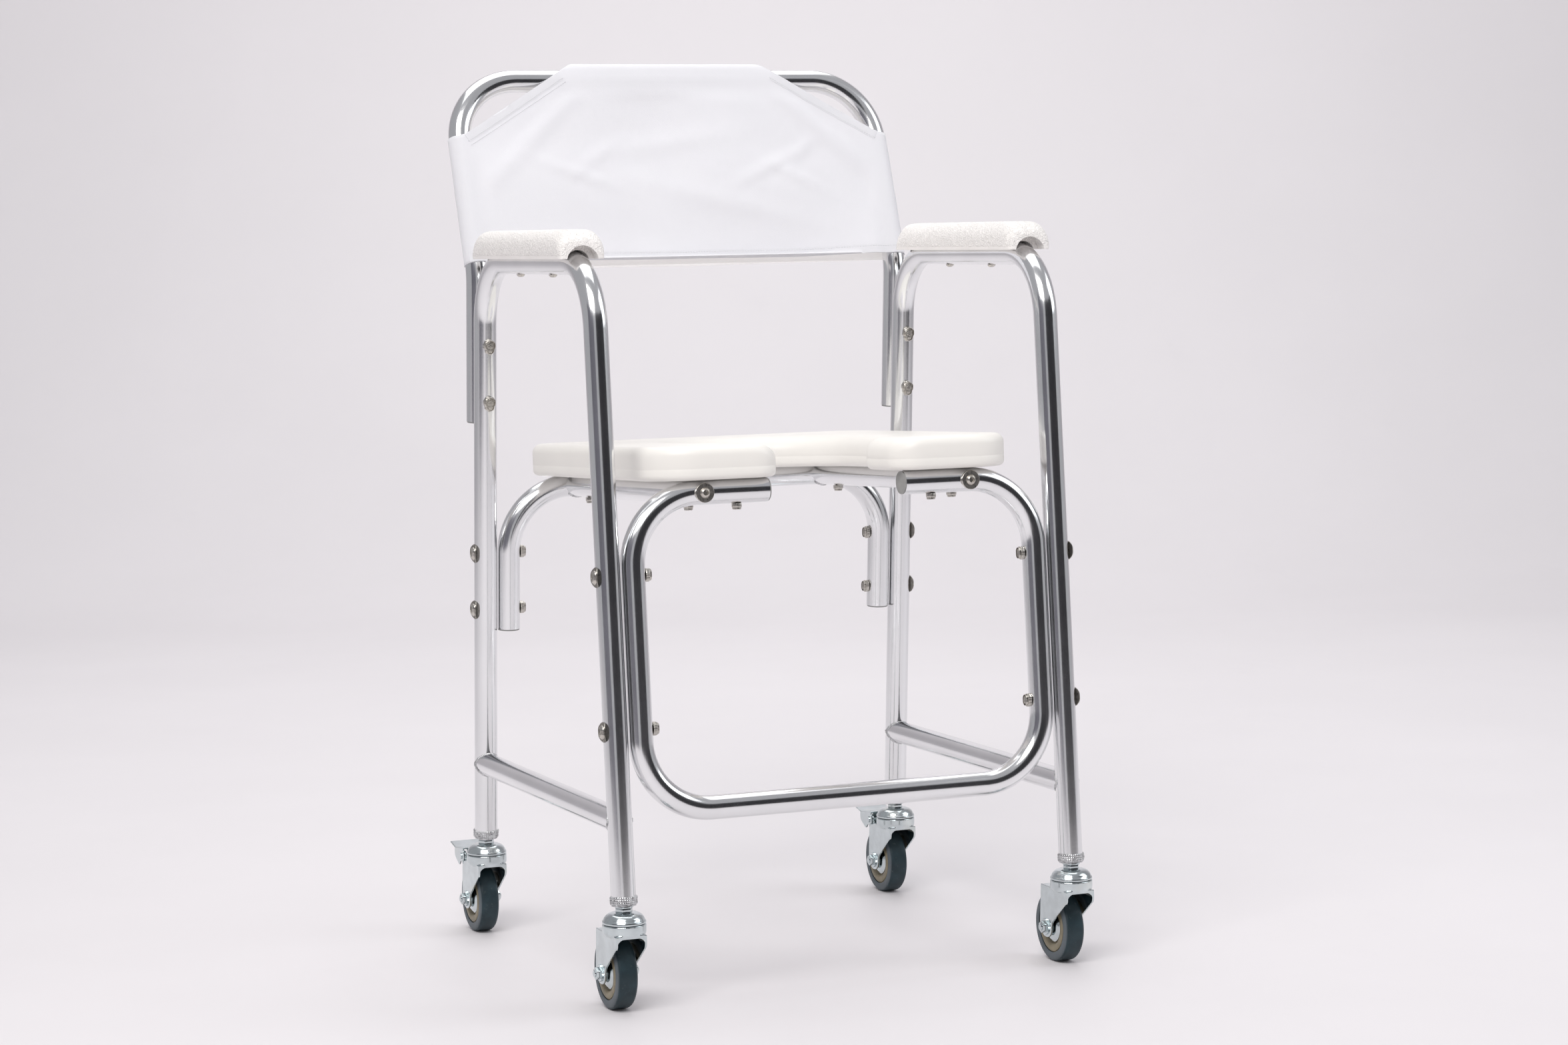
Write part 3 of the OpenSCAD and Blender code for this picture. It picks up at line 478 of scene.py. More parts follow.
def hub_plastic(colours):
    """Olive-tan moulded hub."""
    f = Finish("hub_plastic")
    cloud = f.noise(120.0, 4.0, 0.6)
    grain = f.noise(1600.0, 2.0, 0.5)
    base = f.mix(cloud.step(0.3, 0.7), tinted(colours.hub, 0.82), tinted(colours.hub, 1.12))
    return f.set(Base_Color=base, Roughness=0.38 + cloud * 0.12, Normal=f.bump(grain, 0.00008, 0.5))


def tyre_rubber(name, colours, centre_x, half):
    """Grey rubber: dark tread, paler and duller side faces, a little dust low in the grain."""
    f = Finish(name, IOR=1.36)
    across = f.axis("X", (centre_x, 0, 0)).math("ABSOLUTE")
    side = across.step(half * 0.84, half * 0.97)
    cloud = f.noise(60.0, 4.0, 0.6)
    grain = f.noise(1400.0, 3.0, 0.6)
    tread = f.mix(cloud.step(0.3, 0.75), colours.tread, tinted(colours.tread, 1.5))
    wall = f.mix(cloud.step(0.3, 0.75), tinted(colours.tyre_side, 0.85), colours.tyre_side)
    dust = f.noise(210.0, 5.0, 0.7).step(0.60, 0.72)
    base = f.mix(dust * 0.12, f.mix(side, tread, wall), (0.42, 0.41, 0.39))
    rough = 0.36 + side * 0.06 + cloud * 0.12
    return f.set(Base_Color=base, Roughness=rough, Normal=f.bump(grain, 0.00012, 0.5))


def studio_floor(colours):
    """Painted floor with faint scuffs."""
    f = Finish("studio_floor")
    cloud = f.noise(1.6, 5.0, 0.6)
    scuff = f.noise(5.0, 7.0, 0.72, stretch=(1.0, 0.35, 1.0)).step(0.60, 0.74)
    base = f.mix(cloud.step(0.3, 0.75), tinted(colours.floor, 0.975), colours.floor)
    base = f.mix(scuff * 0.22, base, tinted(colours.floor, 0.93))
    return f.set(Base_Color=base, Roughness=0.55 + cloud * 0.1)


# ---- Mesh helpers ----


def piece_of(name, points, faces, smooth=True):
    """A mesh object at the origin, its place in its mesh."""
    mesh = bpy.data.meshes.new(name)
    mesh.from_pydata([tuple(p) for p in points], [], faces)
    mesh.validate()
    mesh.update()
    obj = bpy.data.objects.new(name, mesh)
    bpy.context.scene.collection.objects.link(obj)
    if smooth:
        mesh.shade_smooth()
    return obj


def outward(obj, merge=0.0):
    """Merges doubles and turns the faces outwards."""
    bm = bmesh.new()
    bm.from_mesh(obj.data)
    if merge:
        bmesh.ops.remove_doubles(bm, verts=bm.verts, dist=merge)
    bmesh.ops.recalc_face_normals(bm, faces=bm.faces)
    bm.to_mesh(obj.data)
    bm.free()
    return obj


def settled(obj):
    """The object with its modifiers worked into a plain mesh."""
    bpy.context.view_layer.update()
    graph = bpy.context.evaluated_depsgraph_get()
    mesh = bpy.data.meshes.new_from_object(obj.evaluated_get(graph), depsgraph=graph)
    obj.modifiers.clear()
    old = obj.data
    obj.data = mesh
    mesh.name = obj.name
    bpy.data.meshes.remove(old)
    return obj


def sharpened(obj, degrees=38.0):
    """Marks edges over an angle as sharp, so that flat faces stay flat."""
    obj.data.set_sharp_from_angle(angle=math.radians(degrees))
    return obj


def bevelled(obj, width, steps=3, degrees=30.0):
    bevel = obj.modifiers.new("edge", "BEVEL")
    bevel.width = width
    bevel.segments = steps
    bevel.limit_method = "ANGLE"
    bevel.angle_limit = math.radians(degrees)
    return settled(obj)


def moulded(obj, voxel, smooth_steps, factor=0.5):
    """Overlapping closed shells made one skin with soft inner and outer edges."""
    remesh = obj.modifiers.new("skin", "REMESH")
    remesh.mode = "VOXEL"
    remesh.voxel_size = voxel
    remesh.use_smooth_shade = True
    soften = obj.modifiers.new("soften", "SMOOTH")
    soften.iterations = smooth_steps
    soften.factor = factor
    return settled(obj)


def joined(name, parts):
    """Several mesh objects as one."""
    bm = bmesh.new()
    for part in parts:
        bm.from_mesh(part.data)
        bpy.data.objects.remove(part)
    mesh = bpy.data.meshes.new(name)
    bm.to_mesh(mesh)
    bm.free()
    obj = bpy.data.objects.new(name, mesh)
    bpy.context.scene.collection.objects.link(obj)
    mesh.shade_smooth()
    return obj


def copied(obj, name, shift):
    """A moved copy of a piece, with its place in its mesh."""
    mesh = obj.data.copy()
    mesh.name = name
    mesh.transform(Matrix.Translation(shift))
    other = bpy.data.objects.new(name, mesh)
    bpy.context.scene.collection.objects.link(other)
    return other


def finished(obj, material, body, nodes=()):
    """Gives a piece its material, body, finish slot and the nodes that it stands for."""
    obj.data.materials.clear()
    obj.data.materials.append(material)
    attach(obj, body)
    if nodes:
        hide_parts(*nodes)
    return obj


def coated(node, material):
    """Gives a CAD node that stays a better material."""
    obj = frame["nodes"][node]
    for index in range(max(1, len(obj.material_slots))):
        if index < len(obj.material_slots):
            obj.material_slots[index].material = material
        else:
            obj.data.materials.append(material)


def filleted(points, closed=True, steps=6):
    """Corner points (x, y, radius), with an arc in place of each corner that has a radius."""
    out = []
    last = len(points) - 1
    for i, (x, y, radius) in enumerate(points):
        if radius == 0 or (not closed and i in (0, last)):
            out.append((x, y))
            continue
        corner = Vector((x, y))
        before = (Vector(points[i - 1][:2]) - corner).normalized()
        after = (Vector(points[(i + 1) % len(points)][:2]) - corner).normalized()
        half = before.angle(after) / 2
        centre = corner + (before + after).normalized() * (radius / math.sin(half))
        start = corner + before * (radius / math.tan(half)) - centre
        end = corner + after * (radius / math.tan(half)) - centre
        first = math.atan2(start.y, start.x)
        sweep = math.remainder(math.atan2(end.y, end.x) - first, math.tau)
        for k in range(steps + 1):
            turn = first + sweep * k / steps
            out.append((centre.x + radius * math.cos(turn), centre.y + radius * math.sin(turn)))
    return out


def lathe(name, profile, place, turns=64, closed=False):
    """A profile of (radius, height) turned about the local Z axis, then put in its place."""
    points, faces, rings = [], [], []
    for radius, height in profile:
        if radius < 1e-7:
            rings.append([len(points)] * turns)
            points.append((0, 0, height))
        else:
            rings.append(list(range(len(points), len(points) + turns)))
            for k in range(turns):
                turn = math.tau * k / turns
                points.append((radius * math.cos(turn), radius * math.sin(turn), height))
    pairs = list(zip(rings, rings[1:] + ([rings[0]] if closed else [])))[: len(rings) if closed else len(rings) - 1]
    for a, b in pairs:
        for k in range(turns):
            loop = [a[k], a[(k + 1) % turns], b[(k + 1) % turns], b[k]]
            face = list(dict.fromkeys(loop))
            if len(face) > 2:
                faces.append(face)
    obj = piece_of(name, [place @ Vector(p) for p in points], faces)
    return outward(obj)


def plate(name, outline, thickness, place):
    """A flat outline with a thickness along local Z, centred on it."""
    count = len(outline)
    points = [(x, y, z) for z in (-thickness / 2, thickness / 2) for x, y in outline]
    faces = [list(range(count))[::-1], list(range(count, 2 * count))]
    faces += [[k, (k + 1) % count, count + (k + 1) % count, count + k] for k in range(count)]
    return outward(piece_of(name, [place @ Vector(p) for p in points], faces, smooth=False))


def along_x(origin):
    """Local X to +Y, local Y to +Z and local Z to +X, at a place."""
    turn = Matrix(((0, 0, 1, 0), (1, 0, 0, 0), (0, 1, 0, 0), (0, 0, 0, 1)))
    return Matrix.Translation(origin) @ turn


# ---- Geometry node trees ----


class Shape:
    """A geometry node tree under construction."""

    def __init__(self, name, inputs):
        self.tree = bpy.data.node_groups.new(name, "GeometryNodeTree")
        self.tree.interface.new_socket("Geometry", in_out="INPUT", socket_type="NodeSocketGeometry")
        self.tree.interface.new_socket("Geometry", in_out="OUTPUT", socket_type="NodeSocketGeometry")
        for label, kind, default in inputs:
            socket = self.tree.interface.new_socket(label, in_out="INPUT", socket_type=kind)
            if default is not None:
                socket.default_value = default
        self.inlet = self.tree.nodes.new("NodeGroupInput")

    def value(self, name):
        return Wire(self.tree, self.inlet.outputs[name])

    def node(self, kind, settings=None, inputs=None, out=0):
        return Wire(self.tree, add_node(self.tree, kind, settings, inputs).outputs[out])

    def close(self, geometry):
        solid = self.node("GeometryNodeRealizeInstances", {}, {"Geometry": geometry})
        painted = self.node("GeometryNodeSetMaterial", {}, {"Geometry": solid, "Material": self.value("Finish")})
        outlet = self.tree.nodes.new("NodeGroupOutput")
        self.tree.links.new(painted.socket, outlet.inputs[0])
        return self.tree


def grown(obj, tree, **values):
    """Runs a tree on an object and keeps the result as its plain mesh."""
    modifier = obj.modifiers.new("grow", "NODES")
    modifier.node_group = tree
    for item in tree.interface.items_tree:
        if item.in_out == "INPUT" and item.name in values:
            modifier[item.identifier] = values[item.name]
    return settled(obj)


def tube_tree():
    """A round tube along an edge path, with each corner bent to its own radius."""
    shape = Shape(
        "bent_tube",
        [
            ("Radius", "NodeSocketFloat", 0.0127),
            ("Sides", "NodeSocketInt", 48),
            ("Bend Steps", "NodeSocketInt", 24),
            ("Finish", "NodeSocketMaterial", None),
        ],
    )
    line = shape.node("GeometryNodeMeshToCurve", {}, {"Mesh": shape.value("Geometry")})
    bend = shape.node("GeometryNodeInputNamedAttribute", {"data_type": "FLOAT"}, {"Name": "bend"})
    inputs = {"Curve": line, "Count": shape.value("Bend Steps"), "Radius": bend, "Limit Radius": True}
    bent = shape.node("GeometryNodeFilletCurve", {"mode": "POLY"}, inputs)
    ring_inputs = {"Resolution": shape.value("Sides"), "Radius": shape.value("Radius")}
    ring = shape.node("GeometryNodeCurvePrimitiveCircle", {"mode": "RADIUS"}, ring_inputs)
    skin_inputs = {"Curve": bent, "Profile Curve": ring, "Fill Caps": True}
    skin = shape.node("GeometryNodeCurveToMesh", {}, skin_inputs)
    return shape.close(skin)


def bead_tree():
    """Flattened drops laid along an edge path: stitches, or the ripples of a weld."""
    shape = Shape(
        "beads_on_line",
        [
            ("Pitch", "NodeSocketFloat", 0.0032),
            ("Drop", "NodeSocketVector", (0.0024, 0.0008, 0.0006)),
            ("Jitter", "NodeSocketFloat", 0.0),
            ("Seed", "NodeSocketInt", 7),
            ("Finish", "NodeSocketMaterial", None),
        ],
    )
    line = shape.node("GeometryNodeMeshToCurve", {}, {"Mesh": shape.value("Geometry")})
    even = add_node(shape.tree, "GeometryNodeResampleCurve", {"mode": "LENGTH"}, {"Curve": line})
    shape.tree.links.new(shape.value("Pitch").socket, even.inputs["Length"])
    even = Wire(shape.tree, even.outputs[0])
    tangent = shape.node("GeometryNodeInputTangent")
    facing = shape.node("GeometryNodeInputNamedAttribute", {"data_type": "FLOAT_VECTOR"}, {"Name": "facing"})
    turned = shape.node("FunctionNodeAlignRotationToVector", {"axis": "X"}, {"Vector": tangent})
    turned_inputs = {"Rotation": turned, "Vector": facing}
    turned = shape.node("FunctionNodeAlignRotationToVector", {"axis": "Z", "pivot_axis": "X"}, turned_inputs)
    drop = shape.node("GeometryNodeMeshUVSphere", {}, {"Segments": 8, "Rings": 5, "Radius": 0.5})
    low = 1 - shape.value("Jitter")
    high = 1 + shape.value("Jitter")
    chance = add_node(shape.tree, "FunctionNodeRandomValue", {"data_type": "FLOAT"}, {"Min": low, "Max": high})
    shape.tree.links.new(shape.value("Seed").socket, chance.inputs["Seed"])
    chance = Wire(shape.tree, next(o for o in chance.outputs if o.enabled and o.type == "VALUE"))
    sized = shape.node("ShaderNodeVectorMath", {"operation": "SCALE"}, {0: shape.value("Drop"), "Scale": chance})
    inputs = {"Points": even, "Instance": drop, "Rotation": turned, "Scale": sized}
    drops = shape.node("GeometryNodeInstanceOnPoints", {}, inputs)
    solid = shape.node("GeometryNodeRealizeInstances", {}, {"Geometry": drops})
    return shape.close(shape.node("GeometryNodeSetShadeSmooth", {}, {"Geometry": solid}))


def scatter_tree():
    """A copy of one shape on each point, turned by the point's own angles."""
    shape = Shape("scattered_shape", [("Shape", "NodeSocketObject", None), ("Finish", "NodeSocketMaterial", None)])
    turn = shape.node("GeometryNodeInputNamedAttribute", {"data_type": "FLOAT_VECTOR"}, {"Name": "turn"})
    master = shape.node("GeometryNodeObjectInfo", {}, {"Object": shape.value("Shape")}, "Geometry")
    dots = shape.node("GeometryNodeMeshToPoints", {}, {"Mesh": shape.value("Geometry")})
    inputs = {"Points": dots, "Instance": master, "Rotation": turn}
    return shape.close(shape.node("GeometryNodeInstanceOnPoints", {}, inputs))


TREES = {}


def tree(name, maker):
    """A tree that is built once and used by many pieces."""
    if name not in TREES:
        TREES[name] = maker()
    return TREES[name]


def wire_path(name, lines, attribute=None, kind="FLOAT"):
    """An edge path for each line of points, with one value on each point."""
    points, edges, values = [], [], []
    for line in lines:
        start = len(points)
        points += [tuple(p) for p, _ in line]
        values += [v for _, v in line]
        edges += [(start + k, start + k + 1) for k in range(len(line) - 1)]
    mesh = bpy.data.meshes.new(name)
    mesh.from_pydata(points, edges, [])
    if attribute:
        data = mesh.attributes.new(attribute, kind, "POINT").data
        field = "value" if kind == "FLOAT" else "vector"
        data.foreach_set(field, np.array(values, np.float32).ravel())
    obj = bpy.data.objects.new(name, mesh)
    bpy.context.scene.collection.objects.link(obj)
    return obj


def tube(name, lines, material, sizes, nodes, radius=None):
    """Bent tubes as one piece: each line is a list of (point, bend radius)."""
    obj = wire_path(name, lines, "bend")
    values = {"Radius": radius or TUBE_R, "Sides": sizes.sides, "Bend Steps": sizes.bend_steps, "Finish": material}
    grown(obj, tree("tube", tube_tree), **values)
    obj.data.shade_smooth()
    sharpened(obj, 50.0)
    return finished(outward(obj), material, "frame", nodes)


def scattered(name, master, places, material, nodes, body="frame"):
    """Copies of a master shape at places given as matrices, made one piece. The master is removed."""
    obj = wire_path(name, [[(place.translation, tuple(place.to_euler()))] for place in places], "turn", "FLOAT_VECTOR")
    grown(obj, tree("scatter", scatter_tree), Shape=master, Finish=material)
    bpy.data.objects.remove(master)
    return finished(obj, material, body, nodes)


def beads(name, lines, pitch, drop, jitter, material, body="frame"):
    """Drops along lines of (point, outward direction)."""
    obj = wire_path(name, lines, "facing", "FLOAT_VECTOR")
    values = {"Pitch": pitch, "Drop": drop, "Jitter": jitter, "Finish": material}
    grown(obj, tree("beads", bead_tree), **values)
    return finished(obj, material, body)


# ---- Places on the tube frame ----


class Plan:
    """Where the frame's tubes, bolts and planes are, worked out from the sizes."""

    def __init__(self, sizes):
        self.sizes = sizes
        self.slope = math.tan(sizes.splay)
        self.inner_x = LEG_X - 2 * TUBE_R - sizes.gap
        self.back_offset = (2 * TUBE_R + sizes.gap) / math.cos(sizes.splay)
        self.kink_y = self.rear_y(sizes.kink_height) + self.back_offset
        self.rear_bar = Vector((0, self.rear_y(REAR_BAR_Z), REAR_BAR_Z))
        self.front_arm = Vector((0, self.front_y(FRONT_ARM_Z), FRONT_ARM_Z))
        rise = self.front_arm - self.rear_bar
        self.forward = rise.normalized()
        self.seat_up = Vector((0, self.forward.z, -self.forward.y))
        self.rail_run = rise.length
        self.back_up = Vector((0, math.sin(sizes.back_lean), math.cos(sizes.back_lean)))
        self.back_front = Vector((0, -math.cos(sizes.back_lean), math.sin(sizes.back_lean)))
        self.top_bar = Vector((0, TOP_BAR_Y, TOP_BAR_Z))

    def front_y(self, z):
        return FRONT_FOOT_Y + (z - self.sizes.leg_end) * self.slope

    def rear_y(self, z):
        return REAR_FOOT_Y - (z - self.sizes.leg_end) * self.slope

    def on_front(self, x, z):
        return Vector((x, self.front_y(z), z))

    def on_rear(self, x, z):
        return Vector((x, self.rear_y(z), z))

    def on_seat(self, x, back, up):
        """A point by its distance behind the rear bar (negative towards the front) and above it."""
        return Vector((x, 0, 0)) + self.rear_bar - self.forward * back + self.seat_up * up

    def on_back(self, x, up, out):
        """A point by its distance above the top bar along the lean, and in front of it."""
        return Vector((x, 0, 0)) + self.top_bar + self.back_up * up + self.back_front * out


# ---- The tube frame ----


def weld_ring(centre, axis, across, rail_r, steps=48):
    """Points where a tube's end meets a crossing tube of the same size, with outward directions."""
    ring = []
    for k in range(steps + 1):
        turn = math.tau * k / steps
        side = across * math.cos(turn) + axis.cross(across) * math.sin(turn)
        reach = math.sqrt(max(0.0, TUBE_R**2 - (rail_r * math.sin(turn)) ** 2))
        ring.append((centre + side * rail_r + axis * reach, tuple(side * 0.8 + axis * 0.6)))
    return ring


def make_tubes(context):
    sizes = context.scene.chair_tubes
    plan = Plan(sizes)
    metal = polished_tube(context.scene.chair_colours)
    weld = weld_metal(context.scene.chair_colours)
    bend, low = sizes.bend_radius, sizes.leg_end
    for side, s in SIDES:
        x = s * LEG_X
        legs = [(plan.on_front(x, low), 0.0), (plan.on_front(x, ARM_Z), bend)]
        legs += [(plan.on_rear(x, ARM_Z), bend), (plan.on_rear(x, low), 0.0)]
        tube(f"{side}_side_loop", [legs], metal, sizes, [f"{side}_side_tube"])
        brace = [(plan.on_front(x, BRACE_Z), 0.0), (plan.on_rear(x, BRACE_Z), 0.0)]
        tube(f"{side}_brace", [brace], metal, sizes, [f"{side}_side_brace"])
        rail = [(plan.on_seat(s * RAIL_X, 0, 0), 0.0), (plan.on_seat(s * RAIL_X, -plan.rail_run, 0), 0.0)]
        tube(f"{side}_rail", [rail], metal, sizes, [f"{side}_seat_rail"])
    inner, arm_x = plan.inner_x, sizes.arm_end_x
    front = [(plan.on_front(-arm_x, FRONT_ARM_Z), 0.0), (plan.on_front(-inner, FRONT_ARM_Z), bend)]
    front += [(plan.on_front(-inner, FRONT_BAR_Z), bend), (plan.on_front(inner, FRONT_BAR_Z), bend)]
    front += [(plan.on_front(inner, FRONT_ARM_Z), bend), (plan.on_front(arm_x, FRONT_ARM_Z), 0.0)]
    tube("front_frame_tube", [front], metal, sizes, ["front_frame"])
    rear = [(plan.on_rear(-inner, sizes.rear_end), 0.0), (plan.on_rear(-inner, REAR_BAR_Z), bend)]
    rear += [(plan.on_rear(inner, REAR_BAR_Z), bend), (plan.on_rear(inner, sizes.rear_end), 0.0)]
    tube("rear_frame_tube", [rear], metal, sizes, ["rear_seat_frame"])
    shift = Vector((0, plan.back_offset, 0))
    end, kink = sizes.back_end, sizes.kink_height
    back = [(plan.on_rear(-LEG_X, end) + shift, 0.0), (plan.on_rear(-LEG_X, kink) + shift, sizes.kink_radius)]
    back += [(Vector((-LEG_X, TOP_BAR_Y, TOP_BAR_Z)), bend), (Vector((LEG_X, TOP_BAR_Y, TOP_BAR_Z)), bend)]
    back += [(plan.on_rear(LEG_X, kink) + shift, sizes.kink_radius), (plan.on_rear(LEG_X, end) + shift, 0.0)]
    tube("back_frame_tube", [back], metal, sizes, ["back_frame"])
    rings = []
    for _, s in SIDES:
        for y, way in ((plan.front_y(BRACE_Z), 1), (plan.rear_y(BRACE_Z), -1)):
            axis = Vector((0, way, 0))
            rings.append(weld_ring(Vector((s * LEG_X, y, BRACE_Z)), axis, Vector((0, 0, 1)), TUBE_R))
        axis = plan.forward
        rings.append(weld_ring(plan.on_seat(s * RAIL_X, 0, 0), axis, plan.seat_up, TUBE_R))
    beads("tube_welds", rings, 0.0021, (0.0034, 0.0042, 0.0026), 0.2, weld)
    rings = []
    leg_turn = [Matrix.Rotation(way * sizes.splay, 3, "X") for way in (-1, 1)]
    for _, s in SIDES:
        for foot_y, turn in ((FRONT_FOOT_Y, leg_turn[0]), (REAR_FOOT_Y, leg_turn[1])):
            for level, radius in ((0.0012, 0.0126), (0.0036, 0.0129), (0.0060, 0.0128)):
                ring = []
                for k in range(41):
                    spin = math.tau * k / 40 + level * 300
                    out = turn @ Vector((math.cos(spin), math.sin(spin), 0))
                    up = turn @ Vector((0, 0, level))
                    ring.append((Vector((s * LEG_X, foot_y, low)) + up + out * radius, tuple(out)))
                rings.append(ring)
    drop = (0.0046, 0.0040, 0.0030)
    collar = beads("foot_welds", rings, 0.0026, drop, 0.25, weld)
    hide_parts("leg_collars")
    coated("leg_sockets", weld)
    plugs = grey_plug(context.scene.chair_colours)
    for node in ("front_frame_plugs", "rear_frame_plugs", "back_frame_plugs"):
        coated(node, plugs)


# ---- Bolts, nuts and washers ----


def hexagon(name, across, height, edge, hole=0.0):
    """A hexagon prism with chamfered corners, standing on its base."""
    radius = across / 2 / math.cos(math.pi / 6)
    outline = [(radius * math.cos(math.tau * k / 6), radius * math.sin(math.tau * k / 6)) for k in range(6)]
    body = plate(name, outline, height, Matrix.Translation((0, 0, height / 2)))
    return sharpened(bevelled(body, edge, 2))


def button_head(name, width, height, socket):
    """A domed head with a hexagon socket: rings from the rim to the socket's floor."""
    turns, points, faces, rings = 36, [], [], []
    ball = (width * width / 4 + height * height) / (2 * height) * 1.02
    levels = [(width / 2, -0.0002), (width / 2, 0.0004)]
    for k in range(1, 7):
        r = width / 2 - (width / 2 - socket * 0.62) * k / 6
        levels.append((r, height - ball + math.sqrt(ball * ball - r * r)))
    rim = levels[-1][1]
    for r, z in levels:
        rings.append([(r * math.cos(math.tau * k / turns), r * math.sin(math.tau * k / turns), z) for k in range(turns)])
    for scale, z in ((1.0, rim), (0.94, rim - 0.0003), (0.94, rim - 0.0021)):
        ring = []
        for k in range(turns):
            turn = math.tau * k / turns
            flat = socket / 2 / math.cos(((turn + math.pi / 6) % (math.pi / 3)) - math.pi / 6) * scale
            ring.append((flat * math.cos(turn), flat * math.sin(turn), z))
        rings.append(ring)
    for ring in rings:
        points += ring
    for a in range(len(rings) - 1):
        for k in range(turns):
            n = (k + 1) % turns
            faces.append([a * turns + k, a * turns + n, (a + 1) * turns + n, (a + 1) * turns + k])
    faces.append([(len(rings) - 1) * turns + k for k in range(turns)])
    faces.append([k for k in range(turns)][::-1])
    return sharpened(outward(piece_of(name, points, faces)), 42.0)


def locking_nut(name, across, height, bolt_r):
    """Hexagon, round collar and the bolt's end standing in it."""
    base = hexagon("base", across, height * 0.68, 0.0006)
    collar = [(0, height * 0.5), (across * 0.44, height * 0.5), (across * 0.46, height * 0.9)]
    collar += [(across * 0.40, height), (bolt_r * 1.25, height), (bolt_r * 1.2, height * 0.8), (0, height * 0.8)]
    ring = lathe("ring", collar, Matrix(), 28)
    end = [(0, 0.001), (bolt_r, 0.001), (bolt_r, height - 0.0006), (bolt_r * 0.8, height - 0.0001), (0, height)]
    shank = lathe("shank", end, Matrix(), 24)
    return sharpened(joined(name, [base, ring, shank]), 40.0)


def facing(place, direction, spin=0.0):
    """A matrix at a place, its local Z along a direction."""
    turn = Vector(direction).to_track_quat("Z", "Y").to_matrix().to_4x4()
    return Matrix.Translation(place) @ turn @ Matrix.Rotation(spin, 4, "Z")


def saddle_washer(name, width, thickness, hole):
    """A disc that is curved round a tube: the tube's axis along local Y."""
    around, rings, points, faces = 32, 4, [], []
    for shell in (0, 1):
        for ring in range(rings):
            r = hole / 2 + (width - hole) / 2 * ring / (rings - 1)
            for k in range(around):
                x, y = r * math.cos(math.tau * k / around), r * math.sin(math.tau * k / around)
                turn = x / TUBE_R
                reach = TUBE_R + shell * thickness
                points.append((reach * math.sin(turn), y, reach * math.cos(turn) - TUBE_R))
    cell = lambda shell, ring, k: shell * rings * around + ring * around + k % around
    for k in range(around):
        for ring in range(rings - 1):
            for shell in (0, 1):
                quad = [cell(shell, ring, k), cell(shell, ring, k + 1)]
                faces.append(quad + [cell(shell, ring + 1, k + 1), cell(shell, ring + 1, k)])
        for ring in (0, rings - 1):
            faces.append([cell(0, ring, k), cell(0, ring, k + 1), cell(1, ring, k + 1), cell(1, ring, k)])
    return sharpened(outward(piece_of(name, points, faces)), 40.0)


